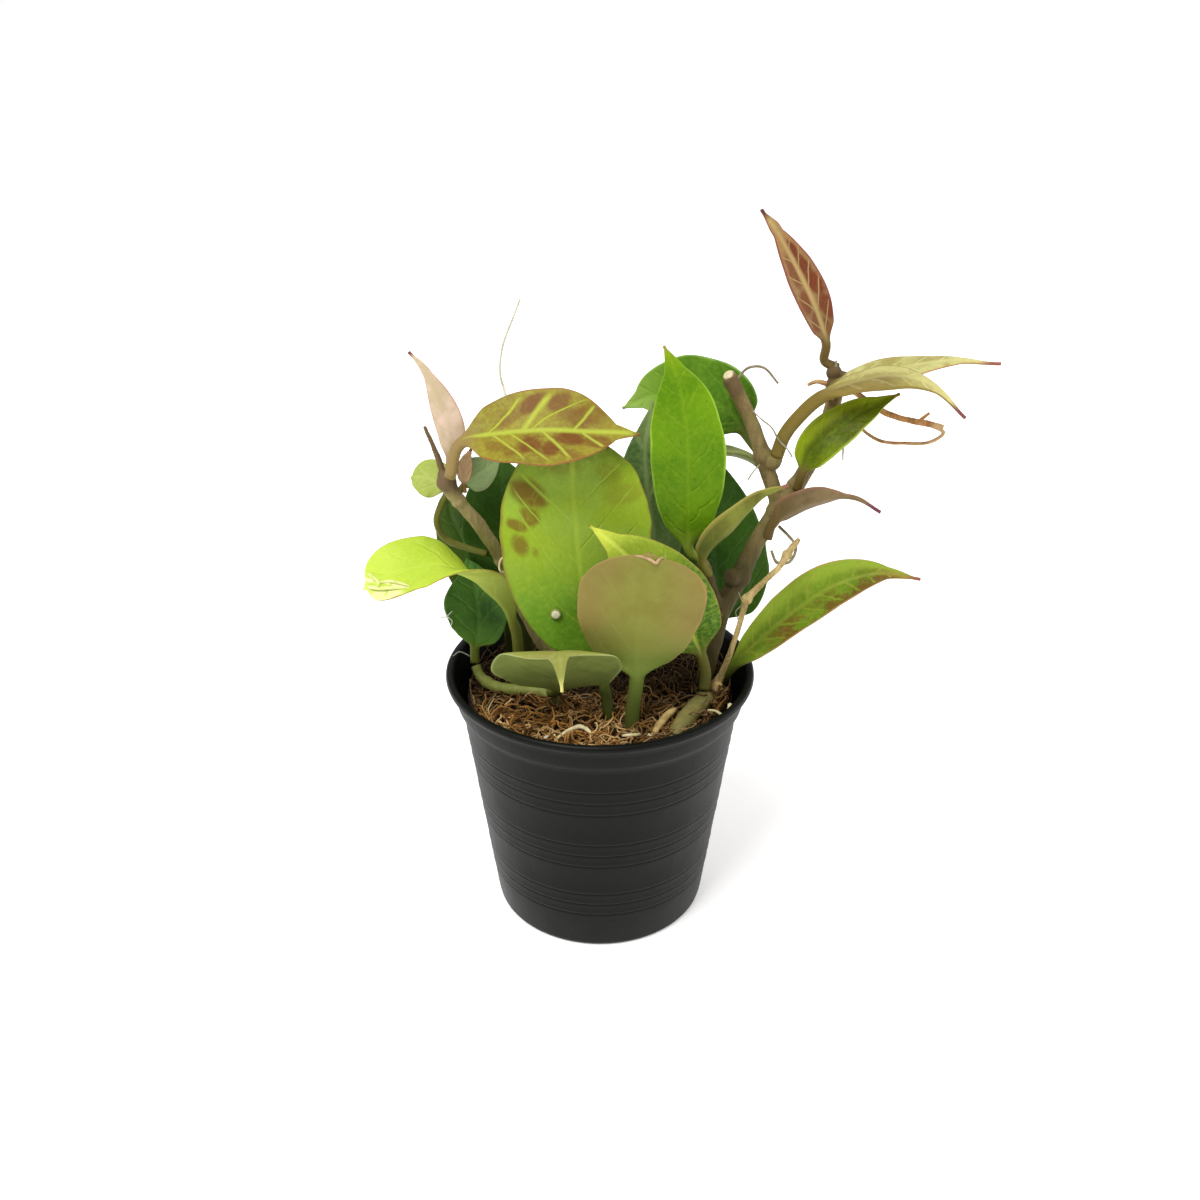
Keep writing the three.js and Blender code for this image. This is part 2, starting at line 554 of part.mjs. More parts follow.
const plant = new THREE.Group();
plant.add(namedMesh('nursery_pot', potGeometry(), colours.potBlack, 0.45));
plant.add(namedMesh('potting_mix', mixGeometry(cutters), colours.mixBrown, 0.95));
for (const [name, geometry] of Object.entries(stems)) {
  plant.add(namedMesh(name, geometry, colours.barkBrown, 0.8));
}
for (const [name, geometry] of Object.entries(lyingStems)) {
  plant.add(namedMesh(name, geometry, colours.barkOlive, 0.7));
}
plant.add(namedMesh('dry_twig', stem(dryTwig), colours.dryTan, 0.85));
for (const [name, paths] of Object.entries(aerialRoots)) {
  const threads = paths.map((points) => stem(points, { sides: 5, steps: 2 }));
  plant.add(namedMesh(name, join(threads), colours.rootTan, 0.8));
}
for (const [name, shape] of Object.entries(leaves)) {
  plant.add(namedMesh(name, leaf(shape), shape.colour, 0.4));
}

export default plant;
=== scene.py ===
import math

import bmesh
import bpy
import numpy as np
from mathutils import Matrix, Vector, noise


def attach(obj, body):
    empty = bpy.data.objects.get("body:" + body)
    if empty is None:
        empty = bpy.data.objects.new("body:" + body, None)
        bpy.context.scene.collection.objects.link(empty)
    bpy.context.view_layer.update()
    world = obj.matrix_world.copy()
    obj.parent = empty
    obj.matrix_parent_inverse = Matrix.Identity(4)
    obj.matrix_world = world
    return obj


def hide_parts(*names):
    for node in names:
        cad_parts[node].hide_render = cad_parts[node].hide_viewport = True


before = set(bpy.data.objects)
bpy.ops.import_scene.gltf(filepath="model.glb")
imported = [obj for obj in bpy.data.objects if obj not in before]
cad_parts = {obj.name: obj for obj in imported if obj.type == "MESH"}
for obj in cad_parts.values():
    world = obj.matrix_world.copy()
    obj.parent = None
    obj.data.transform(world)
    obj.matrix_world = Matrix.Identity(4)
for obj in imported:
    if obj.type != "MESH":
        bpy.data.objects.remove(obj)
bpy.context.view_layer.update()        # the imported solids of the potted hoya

mm = 0.001               # the tables below are in millimetres


# Node trees: a wire is a socket that can be added, multiplied and so on

class Wire:
    def __init__(self, tree, socket):
        self.tree, self.socket = tree, socket

    def math(self, operation, *terms):
        return self.tree.node("ShaderNodeMath", {"operation": operation}, dict(enumerate(terms)))

    def __add__(self, other):
        return self.math("ADD", self, other)

    def __sub__(self, other):
        return self.math("SUBTRACT", self, other)

    def __rsub__(self, other):
        return self.math("SUBTRACT", other, self)

    def __mul__(self, other):
        return self.math("MULTIPLY", self, other)

    def __truediv__(self, other):
        return self.math("DIVIDE", self, other)

    def __rtruediv__(self, other):
        return self.math("DIVIDE", other, self)

    def __gt__(self, other):
        return self.math("GREATER_THAN", self, other)

    def __abs__(self):
        return self.math("ABSOLUTE", self)

    __radd__ = __add__
    __rmul__ = __mul__

    def fraction(self):
        return self.math("FRACT", self)

    def most(self, other):
        return self.math("MAXIMUM", self, other)

    def least(self, other):
        return self.math("MINIMUM", self, other)

    def fade(self, low, high):
        # 0 below low, 1 above high, and smooth between; low may be the larger one
        wire = self.tree.node("ShaderNodeMapRange", {"interpolation_type": "SMOOTHSTEP"},
                              {0: self, 1: min(low, high), 2: max(low, high)})
        return 1 - wire if low > high else wire


class Tree:
    def __init__(self, tree):
        self.tree = tree
        self.tree.nodes.clear()

    def node(self, kind, settings=(), sockets=(), out=0):
        made = self.tree.nodes.new(kind)
        for key, value in dict(settings).items():
            setattr(made, key, value)
        for key, value in dict(sockets).items():
            if isinstance(value, Wire):
                self.tree.links.new(value.socket, made.inputs[key])
            else:
                made.inputs[key].default_value = value
        return Wire(self, made.outputs[out]) if made.outputs else None

    def vector(self, operation, *terms, out=0, **named):
        sockets = {**dict(enumerate(terms)), **named}
        return self.node("ShaderNodeVectorMath", {"operation": operation}, sockets, out)

    def span(self, *ends):
        # the length of a vector, or how far two points lie apart
        return self.vector("DISTANCE" if len(ends) > 1 else "LENGTH", *ends, out="Value")

    def join(self, x=0.0, y=0.0, z=0.0):
        return self.node("ShaderNodeCombineXYZ", {}, {0: x, 1: y, 2: z})

    def part(self, vector, axis):
        return self.node("ShaderNodeSeparateXYZ", {}, {0: vector}, out=axis)


class Shader(Tree):
    def __init__(self, name):
        self.material = bpy.data.materials.new(name)
        self.material.use_nodes = True
        super().__init__(self.material.node_tree)

    def attribute(self, name):
        return self.node("ShaderNodeAttribute", {"attribute_name": name}, out="Fac")

    def place(self, scale=(1, 1, 1), shift=(0, 0, 0)):
        spot = self.node("ShaderNodeTexCoord", out="Object")
        return self.node("ShaderNodeMapping", {}, {0: spot, "Location": shift, "Scale": scale})

    def noise(self, scale, detail=3, roughness=0.55, where=None):
        return self.node("ShaderNodeTexNoise", {},
                         {0: where or self.place(), "Scale": scale, "Detail": detail, "Roughness": roughness})

    def dots(self, scale, where=None):
        # distance to the nearest of many scattered points
        return self.node("ShaderNodeTexVoronoi", {}, {0: where or self.place(), "Scale": scale})

    def mix(self, factor, first, second):
        # colours are given as hexadecimal codes or wires
        ends = [tone(end) if isinstance(end, str) else end for end in (first, second)]
        return self.node("ShaderNodeMix", {"data_type": "RGBA"}, {0: factor, 6: ends[0], 7: ends[1]}, out=2)

    def finish(self, base, roughness, height=None, depth=0.0002, specular=0.5):
        sockets = {"Base Color": base, "Roughness": roughness, "Specular IOR Level": specular}
        if height is not None:
            sockets["Normal"] = self.node("ShaderNodeBump", {},
                                          {"Strength": 1.0, "Distance": depth, "Height": height})
        skin = self.node("ShaderNodeBsdfPrincipled", {}, sockets)
        self.node("ShaderNodeOutputMaterial", {}, {0: skin})
        return self.material


def tone(code):
    # a colour from its hexadecimal code, as the shaders want it
    parts = [int(code[i:i + 2], 16) / 255 for i in (0, 2, 4)]
    return (*[p / 12.92 if p <= 0.04045 else ((p + 0.055) / 1.055) ** 2.4 for p in parts], 1)


# Meshes

def addObject(name, mesh):
    mesh.polygons.foreach_set("use_smooth", [True] * len(mesh.polygons))
    made = bpy.data.objects.new(name, mesh)
    bpy.context.scene.collection.objects.link(made)
    return made


def meshObject(name, points, faces, values=None):
    mesh = bpy.data.meshes.new(name)
    mesh.from_pydata([tuple(p) for p in points], [], faces)
    for key, numbers in (values or {}).items():
        mesh.attributes.new(key, "FLOAT", "POINT").data.foreach_set("value", np.array(numbers, np.float32))
    mesh.update()
    return addObject(name, mesh)


def bmeshObject(name, built):
    mesh = bpy.data.meshes.new(name)
    built.to_mesh(mesh)
    built.free()
    return addObject(name, mesh)


def joinPieces(name, pieces):
    whole = bmesh.new()
    for piece in pieces:
        whole.from_mesh(piece.data)
        bpy.data.objects.remove(piece)
    return bmeshObject(name, whole)


def ballObject(name, radius, subdivisions, shape):
    ball = bmesh.new()
    bmesh.ops.create_icosphere(ball, subdivisions=subdivisions, radius=radius)
    for vert in ball.verts:
        vert.co = shape(vert.co)
    return bmeshObject(name, ball)


def nodeOf(name):
    # aerialRootLeft stands for the solid aerial_root_left
    return "".join("_" + letter.lower() if letter.isupper() else letter for letter in name)


def dress(piece, material, slot, *nodes):
    # the finish of a piece, the solids that it stands for and the body that it rides on
    piece.data.materials.clear()
    piece.data.materials.append(material)
    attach(piece, "root")
    if nodes:
        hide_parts(*nodes)


def settle(piece):
    # the piece with its modifiers worked into its mesh
    bpy.context.view_layer.update()
    evaluated = piece.evaluated_get(bpy.context.evaluated_depsgraph_get())
    mesh = bpy.data.meshes.new_from_object(evaluated)
    piece.modifiers.clear()
    piece.data = mesh
    return piece


def circle(radius, z, sides):
    turns = [2 * math.pi * k / sides for k in range(sides)]
    return [(radius * math.cos(turn) * mm, radius * math.sin(turn) * mm, z * mm) for turn in turns]


def tubeFaces(rings, around):
    # faces between rings of points, which run round a tube, with a fan at both ends
    faces = []
    for j in range(rings - 1):
        for k in range(around):
            a, b = j * around + k, j * around + (k + 1) % around
            faces.append((a, b, b + around, a + around))
    last, hub = (rings - 1) * around, rings * around
    for k in range(around):
        faces.append((hub, (k + 1) % around, k))
        faces.append((hub + 1, last + k, last + (k + 1) % around))
    return faces


def ease(value, low, high):
    part = min(max((value - low) / (high - low), 0), 1)
    return part * part * (3 - 2 * part)


def between(a, b, part):
    return a + (b - a) * part


def unit(way):
    return way / np.linalg.norm(way)


class Path:
    # a smooth curve through points, by the same rule as the solids' own
    def __init__(self, points):
        self.points = [np.array(p[:3], float) for p in points]

    def at(self, t):
        points, last = self.points, len(self.points) - 1
        spot = min(max(t, 0), 1) * last
        i = min(int(spot), last - 1)
        w = spot - i
        before = points[i - 1] if i else 2 * points[0] - points[1]
        after = points[i + 2] if i + 2 <= last else 2 * points[last] - points[last - 1]
        p = [before, points[i], points[i + 1], after]
        gaps = [max(np.linalg.norm(p[n + 1] - p[n]) ** 0.5, 1e-3) for n in range(3)]
        out = (p[1] - p[0]) / gaps[0] - (p[2] - p[0]) / (gaps[0] + gaps[1]) + (p[2] - p[1]) / gaps[1]
        into = (p[2] - p[1]) / gaps[1] - (p[3] - p[1]) / (gaps[1] + gaps[2]) + (p[3] - p[2]) / gaps[2]
        out, into = out * gaps[1], into * gaps[1]
        return (p[1] + out * w + (3 * (p[2] - p[1]) - 2 * out - into) * w * w
                + (2 * (p[1] - p[2]) + out + into) * w ** 3)

    def along(self, t, step=1e-4):
        return unit(self.at(min(t + step, 1)) - self.at(max(t - step, 0)))

    def frames(self, count):
        # points with two directions across the curve that turn as little as they can
        spots = [self.at(i / count) for i in range(count + 1)]
        ways = [self.along(i / count) for i in range(count + 1)]
        sides = [unit(np.cross(ways[0], [0.3, 0.2, 1] if abs(ways[0][2]) < 0.8 else [1, 0.2, 0]))]
        for way in ways[1:]:
            sides.append(unit(sides[-1] - way * (sides[-1] @ way)))
        return [(spot, side, np.cross(way, side)) for spot, way, side in zip(spots, ways, sides)]


def tube(name, points, around, perSpan, rough=0.0, seed=0):
    # rings round a path of points [x, y, z, radius], with a little unevenness
    path, spans = Path(points), len(points) - 1
    count = spans * perSpan
    rings = []
    for i, (spot, side, other) in enumerate(path.frames(count)):
        low = min(i // perSpan, spans - 1)
        radius = between(points[low][3], points[low + 1][3], i / perSpan - low)
        for k in range(around):
            angle = 2 * math.pi * k / around
            way = math.cos(angle) * side + math.sin(angle) * other
            bump = noise.noise(Vector(spot * 0.35 + way * 0.8) + Vector((seed, 0, 0)))
            rings.append((spot + way * radius * (1 + rough * bump)) * mm)
    rings += [path.at(0) * mm, path.at(1) * mm]
    return meshObject(name, rings, tubeFaces(count + 1, around))


def tubes(name, paths, around, perSpan, rough=0.0, seed=0):
    return joinPieces(name, [tube("thread", points, around, perSpan, rough, seed + n)
                             for n, points in enumerate(paths)])


# Camera, floor and light

view = dict(place=(0, -0.3135, 0.2525), pitch=26.8, lens=39.0, sensor=36, nearest=0.01)


def addCamera():
    data = bpy.data.cameras.new("camera")
    data.lens, data.sensor_width, data.clip_start = view["lens"], view["sensor"], view["nearest"]
    camera = bpy.data.objects.new("camera", data)
    camera.location = view["place"]
    camera.rotation_euler = (math.radians(90 - view["pitch"]), 0, 0)
    bpy.context.scene.collection.objects.link(camera)
    bpy.context.scene.camera = camera


studio = dict(
    air="ffffff", airPower=0.38, backdropPower=1.0,
    lamps=[   # place, aim, size, power
        ((-0.25, -0.35, 0.85), (0, 0, 0.1), 0.4, 7.0),
        ((0.6, -0.3, 0.5), (0, 0, 0.1), 0.6, 1.4),
        ((0.05, 0.5, 0.7), (0, 0, 0.12), 0.6, 1.4),
        ((-0.8, 0.12, 0.2), (0, 0, 0.05), 0.6, 1.5),
        ((0.8, 0.12, 0.2), (0, 0, 0.05), 0.6, 1.8),
    ],
    # the floor's glow keeps it white far off, and is weaker by the pot, so that a soft shadow shows there
    floor="ffffff", floorNear="b4b2ae", floorSize=40, floorGlow=0.62, nearEnds=0.06, farStarts=0.5,
)


def addAir():
    # the camera sees a white backdrop, while the object gets a softer light
    world = bpy.data.worlds.new("studio")
    world.use_nodes = True
    sky = Tree(world.node_tree)
    air, backdrop = [sky.node("ShaderNodeBackground", {}, {"Color": tone(studio["air"]), "Strength": power})
                     for power in (studio["airPower"], studio["backdropPower"])]
    seen = sky.node("ShaderNodeLightPath", out="Is Camera Ray")
    either = sky.node("ShaderNodeMixShader", {}, {0: seen, 1: air, 2: backdrop})
    sky.node("ShaderNodeOutputWorld", {}, {0: either})
    bpy.context.scene.world = world
    bpy.context.scene.view_settings.view_transform = "Standard"


def addLamps():
    for spot, aim, size, power in studio["lamps"]:
        lamp = bpy.data.lights.new("softbox", "AREA")
        lamp.size, lamp.energy = size, power
        holder = bpy.data.objects.new("softbox", lamp)
        holder.location = spot
        holder.rotation_euler = (Vector(aim) - Vector(spot)).to_track_quat("-Z", "Y").to_euler()
        bpy.context.scene.collection.objects.link(holder)


def addFloor():
    half = studio["floorSize"] / 2
    corners = [(-half, -half, 0), (half, -half, 0), (half, half, 0), (-half, half, 0)]
    floor = meshObject("floor", corners, [(0, 1, 2, 3)])
    paint = Shader("floorPaper")
    away = paint.span(paint.place()).fade(studio["nearEnds"], studio["farStarts"])
    paper = paint.node("ShaderNodeBsdfPrincipled", {}, {
        "Base Color": tone(studio["floor"]), "Roughness": 0.9, "Emission Strength": studio["floorGlow"],
        "Emission Color": paint.mix(away, studio["floorNear"], studio["floor"])})
    paint.node("ShaderNodeOutputMaterial", {}, {0: paper})
    floor.data.materials.append(paint.material)


addCamera()
addAir()
addLamps()
addFloor()
print("camera and studio are set")


# The nursery pot

pot = dict(
    height=74.4, wallTop=38.5, wallFoot=30, wall=1.1, collar=9.4, floor=2.6, sides=192,
    foot=[   # radius and height, from the middle of the underside outwards
        (0, 0), (10, 0), (10.6, 0.15), (11.4, 1), (12, 1.2), (26.3, 1.2), (27.2, 0.7), (27.8, 0.05),
        (28.3, 0), (29, 0.05), (29.6, 0.35), (29.95, 0.9), (30.15, 1.6), (30.25, 2.4), (30.45, 3.2)],
    ringGroups=(12.4, 30.6, 49.2), ringsPerGroup=3, ringPitch=3.9, ringDepth=0.13,
    ring=[   # upwards and outwards from the ring's line, and the share of its depth
        (-1.1, 0, 0), (-0.5, 0.02, 0), (-0.16, 0, 0.2), (0, 0, 1), (0.14, 0, 0.8), (0.3, 0.06, 0),
        (0.7, 0.1, 0), (1.3, 0, 0)],
    collarLine=[(39.4, 0.5), (39.75, 0.9), (39.95, 1.8), (40.3, 4.6)],     # radius, and height over its step
    lipLine=[   # radius, and depth under the pot's top, from the outside to the inside
        (40.45, 3.4), (40.8, 2.9), (41.7, 2.5), (42.25, 2.1), (42.5, 1.4), (42.45, 0.8), (42.15, 0.3),
        (41.6, 0), (41, 0.05), (40.6, 0.3), (40.3, 0.8), (40, 1.7)],
    insideLine=[(39.3, 2.6), (38.2, 0.6), (37.5, -0.6)],                   # radius, and height over the step
    insideHeights=(50, 30, 10, 4),
    drains=6, drainRadius=2.6, drainCircle=19, ovalness=0.0012, ovalAt=74, cornerAngle=50,
    plastic="040603", dust="25281d", specular=0.14,
)


def potOutline():
    # from the middle of the underside round the outside, over the lip and down inside
    step = pot["height"] - pot["collar"]

    def slope(z):
        return pot["wallFoot"] + (pot["wallTop"] - pot["wallFoot"]) * z / step

    line = list(pot["foot"])
    for low in pot["ringGroups"]:
        for z in [low + n * pot["ringPitch"] for n in range(pot["ringsPerGroup"])]:
            line += [(slope(z + up) + out - pot["ringDepth"] * share, z + up)
                     for up, out, share in pot["ring"]]
    line += [(slope(step - 1.5), step - 1.5), (slope(step) - 0.1, step - 0.3), (slope(step) + 0.15, step)]
    line += [(r, step + up) for r, up in pot["collarLine"]]
    line += [(r, pot["height"] - down) for r, down in pot["lipLine"]]
    line += [(r, step + up) for r, up in pot["insideLine"]]
    line += [(slope(z) - pot["wall"], z) for z in pot["insideHeights"]]
    corner, floor = line[-1][0], pot["floor"]
    return line + [(corner - 0.9, floor + 0.3), (corner - 2, floor), (0, floor)]


def potPlastic():
    shade = Shader("satinBlackPlastic")
    scuff = shade.noise(90, 4, 0.6, shade.place((1, 1, 0.35)))
    cloud, grit = shade.noise(28, 3, 0.5), shade.noise(2600, 2, 0.5)
    dust = scuff.fade(0.5, 0.78) * 0.12 + cloud.fade(0.5, 0.75) * 0.08
    specks = (1 - shade.dots(420).fade(0.03, 0.075)) * cloud.fade(0.45, 0.6) * 0.5
    base = shade.mix(dust + specks, pot["plastic"], pot["dust"])
    return shade.finish(base, scuff * 0.16 + cloud * 0.12 + 0.3, scuff * 0.5 + grit * 0.06 + cloud, 0.0005,
                        pot["specular"])


def makePot():
    line, sides = potOutline(), pot["sides"]
    points = []
    for r, z in line[1:-1]:
        for k in range(sides):
            angle = 2 * math.pi * k / sides
            sag = 1 + pot["ovalness"] * math.sin(2 * angle + 0.7) * z / pot["ovalAt"]
            points.append((r * sag * math.cos(angle) * mm, r * sag * math.sin(angle) * mm, z * mm))
    points += [(0, 0, 0), (0, 0, pot["floor"] * mm)]
    body = meshObject("potBody", points, tubeFaces(len(line) - 2, sides))
    drills = []
    away, radius = pot["drainCircle"], pot["drainRadius"]
    for n in range(pot["drains"]):
        angle = 2 * math.pi * n / pot["drains"]
        x, y = away * math.cos(angle), away * math.sin(angle)
        drills.append([(x, y, -2, radius), (x, y, 6, radius)])
    drill = tubes("drills", drills, around=32, perSpan=1)
    cut = body.modifiers.new("drains", "BOOLEAN")
    cut.operation, cut.object, cut.solver = "DIFFERENCE", drill, "EXACT"
    settle(body)
    bpy.data.objects.remove(drill)
    body.data.polygons.foreach_set("use_smooth", [True] * len(body.data.polygons))
    body.data.set_sharp_from_angle(angle=math.radians(pot["cornerAngle"]))     # corners keep their edge
    dress(body, potPlastic(), "pot_black_plastic", "nursery_pot")


makePot()
print("pot is made")


# The mix: a heap of peat, with coir fibres, bark and perlite strewn over it

mix = dict(
    height=67, slope=0.06, radius=37.2, rings=64, sides=220, gap=0.25, edgeDrop=0.8, edgeFrom=35, edgeTo=37.5,
    wall=[(28, 2.9), (28.6, 3.4), (30, 14), (36.4, 62)],     # radius and height of the rings against the pot
    # wet and paintedShadeFibreTone are painted shade on the mix and on its fibres, behind and to the right
    dark="33200d", light="8a6230", clod="1c1208", wet="120b05", paintedShadeFibreTone="1a1008",
    reach=36,     # strewn pieces end here, inside the pot's wall
)


def mixTop(x, y):
    spot = Vector((x, y, 0))
    lump = noise.fractal(spot * 0.11, 0.9, 2.1, 4) * 1.1
    lump += noise.fractal(spot * 0.5 + Vector((7, 3, 1)), 0.8, 2.2, 3) * 0.55
    broad = 0.7 * math.sin(x * 0.45 + 1) * math.cos(y * 0.38) + 0.5 * math.sin(x * 0.9 - y * 0.7)
    return mix["height"] - y * mix["slope"] + broad * 0.7 + lump


def paintedShadeShare(shade):
    # painted shade: the mix is left pale near the front rim at the left, and painted darker behind that and
    # towards the right, where the stems and leaves above shade it
    spot = shade.place()
    cloud = (shade.noise(90, 2, 0.5) - 0.5) * 0.012
    behind = (shade.part(spot, "Y") + cloud).fade(-0.02, -0.004)
    return behind.most((shade.part(spot, "X") + cloud).fade(0.002, 0.014) * 0.7)


def peatMaterial():
    shade = Shader("peatAndCoir")
    clod, crumb, damp = shade.noise(320, 6, 0.65), shade.noise(1500, 4, 0.7), shade.noise(60, 2, 0.5)
    base = shade.mix(crumb.fade(0.42, 0.68) * 0.7 * clod.fade(0.35, 0.6), mix["dark"], mix["light"])
    # damp here is a noise for random dark clods of the mix
    base = shade.mix(damp.fade(0.42, 0.62) * 0.55, base, mix["clod"])
    # painted shade: darker behind the front rim and towards the right
    base = shade.mix(paintedShadeShare(shade) * 0.85, base, mix["wet"])
    return shade.finish(base, crumb * 0.2 + 0.75, clod + crumb * 0.6 + shade.dots(900) * 0.5, 0.0012, 0.25)


def makeMix():
    rings, sides, points = mix["rings"], mix["sides"], []
    for r, z in mix["wall"]:
        points += circle(r, z, sides)
    for j in range(rings):
        r = mix["radius"] * (1 - j / rings) - mix["gap"]
        drop = mix["edgeDrop"] * ease(r, mix["edgeFrom"], mix["edgeTo"])
        for k in range(sides):
            angle = 2 * math.pi * k / sides
            x, y = r * math.cos(angle), r * math.sin(angle)
            points.append((x * mm, y * mm, (mixTop(x, y) - drop) * mm))
    points += [(0, 0, mix["wall"][0][1] * mm), (0, 0, mixTop(0, 0) * mm)]
    heap = meshObject("pottingMix", points, tubeFaces(len(mix["wall"]) + rings, sides))
    dress(heap, peatMaterial(), "potting_mix", "potting_mix")
    return heap


# density to the square metre and sizes in metres, but a chip's thickness is a share of its length
# damp in each kind is the share of the painted shade, behind and to the right, that it takes
strewnPieces = dict(
    coirBrownFibres=dict(
        kind="fibres", finish="coirBrown", dark="4a2d10", light="b4803f", damp=0.8,
        sizes=dict(Density=230000.0, Length=0.0085, Thickness=0.00024, Wander=0.0052, Lift=0.0018, Seed=3)),
    coirTanFibres=dict(
        kind="fibres", finish="coirTan", dark="8a6636", light="dcb880", damp=0.8,
        sizes=dict(Density=150000.0, Length=0.0075, Thickness=0.00021, Wander=0.0058, Lift=0.0022, Seed=11)),
    barkCrumbs=dict(
        kind="chips", finish="barkBits", dark="4a3016", light="a07a44", damp=0.8,
        sizes=dict(Density=90000.0, Length=0.0011, Thickness=0.55, Wander=0.0012, Seed=7)),
    perliteGrains=dict(
        kind="chips", finish="perlite", dark="b9b29a", light="e8e4d4", damp=0.2,
        sizes=dict(Density=6000.0, Length=0.0006, Thickness=0.8, Wander=0.0006, Seed=19)),
)


def strewGroup(name, kind):
    # a tree that strews small pieces over the upper side of a mesh
    group = bpy.data.node_groups.new(name, "GeometryNodeTree")
    floats = [(label, "Float") for label in ("Density", "Length", "Thickness", "Wander", "Lift", "Reach")]
    for label, socket in [("Geometry", "Geometry"), *floats, ("Seed", "Int"), ("Finish", "Material")]:
        group.interface.new_socket(label, in_out="INPUT", socket_type="NodeSocket" + socket)
    group.interface.new_socket("Geometry", in_out="OUTPUT", socket_type="NodeSocketGeometry")
    tree = Tree(group)
    node = tree.node

    def given(label):
        return node("NodeGroupInput", out=label)

    upward = tree.part(node("GeometryNodeInputNormal"), "Z")
    high = node("FunctionNodeCompare", {"data_type": "FLOAT", "operation": "GREATER_THAN"},
                {0: upward, 1: 0.3})
    spots = node("GeometryNodeDistributePointsOnFaces", {}, {
        "Mesh": given("Geometry"), "Selection": high, "Density": given("Density"), "Seed": given("Seed")})
    own = node("FunctionNodeRandomValue", {"data_type": "FLOAT"}, {"Seed": 5}, out=1)
    spots = node("GeometryNodeStoreNamedAttribute", {"data_type": "FLOAT", "domain": "POINT"},
                 {"Geometry": spots, "Name": "shade", "Value": own})
    turn = node("FunctionNodeRandomValue", {"data_type": "FLOAT_VECTOR"},
                {0: (-0.5, -0.5, 0), 1: (0.5, 0.5, 6.283), "Seed": 1})
    size = node("FunctionNodeRandomValue", {"data_type": "FLOAT"}, {2: 0.45, 3: 1.25, "Seed": 2}, out=1)
    if kind == "fibres":
        end = tree.join(given("Length"))
        middle = tree.vector("SCALE", end, Scale=0.5)
        middle = tree.vector("ADD", middle, tree.join(y=given("Wander"), z=given("Lift")))
        shape = node("GeometryNodeCurveQuadraticBezier", {},
                     {"Resolution": 13, "Start": (0, 0, 0), "Middle": middle, "End": end})
    else:
        shape = node("GeometryNodeMeshIcoSphere", {}, {"Radius": given("Length"), "Subdivisions": 2})
        flat = tree.join(1.0, 0.7, given("Thickness"))
        shape = node("GeometryNodeTransform", {}, {"Geometry": shape, "Scale": flat})
    laid = node("GeometryNodeInstanceOnPoints", {},
                {"Points": spots, "Instance": shape, "Rotation": turn, "Scale": size})
    laid = node("GeometryNodeRealizeInstances", {}, {0: laid})
    spot = node("GeometryNodeInputPosition")
    ripple = node("ShaderNodeTexNoise", {"noise_dimensions": "3D"}, {
        "Vector": spot, "Scale": 260.0 if kind == "fibres" else 900.0, "Detail": 1.0}, out="Color")
    ripple = tree.vector("SUBTRACT", ripple, (0.5, 0.5, 0.5))
    ripple = tree.vector("SCALE", ripple, Scale=given("Wander"))
    laid = node("GeometryNodeSetPosition", {}, {"Geometry": laid, "Offset": ripple})
    # whatever would reach through the pot's wall is drawn in
    away = tree.span(tree.vector("MULTIPLY", spot, (1, 1, 0)))
    share = (given("Reach") / away).least(1.0)
    drawn = tree.vector("MULTIPLY", spot, tree.join(share, share, 1.0))
    laid = node("GeometryNodeSetPosition", {}, {"Geometry": laid, "Position": drawn})
    if kind == "fibres":
        ring = node("GeometryNodeCurvePrimitiveCircle", {}, {"Resolution": 4, "Radius": given("Thickness")})
        laid = node("GeometryNodeCurveToMesh", {}, {"Curve": laid, "Profile Curve": ring, "Fill Caps": True})
    laid = node("GeometryNodeSetMaterial", {}, {"Geometry": laid, "Material": given("Finish")})
    node("NodeGroupOutput", {}, {0: laid})
    return group


def fibreMaterial(look):
    shade = Shader(look["finish"])
    grain = shade.noise(1800, 3, 0.6)
    base = shade.mix(shade.attribute("shade") * 0.8 + grain * 0.2, look["dark"], look["light"])
    # painted shade: darker behind the front rim and towards the right, at this kind's share
    base = shade.mix(paintedShadeShare(shade) * look["damp"], base, mix["paintedShadeFibreTone"])
    return shade.finish(base, 0.8, grain, 0.0002, 0.2)


def strew(name, look, ground):
    piece = bpy.data.objects.new(name, ground.data.copy())
    bpy.context.scene.collection.objects.link(piece)
    modifier = piece.modifiers.new("strewn", "NODES")
    modifier.node_group = strewGroup(name, look["kind"])
    finish = fibreMaterial(look)
    amounts = {**look["sizes"], "Reach": mix["reach"] * mm, "Finish": finish}
    for item in modifier.node_group.interface.items_tree:
        if item.in_out == "INPUT" and item.name in amounts:
            modifier[item.identifier] = amounts[item.name]
    dress(settle(piece), finish, "potting_mix")


heap = makeMix()
for name, look in strewnPieces.items():
    strew(name, look, heap)
print("mix is made")


# Stems and twig: round tubes fused into one skin, with swellings at the nodes and ridged bark. Paths are
# lists of x, y, z and radius, and so are knobs.

wood = dict(around=20, perSpan=10, rough=0.08, voxel=0.36, grain=0.12, ripple=0.8, stretch=0.22)

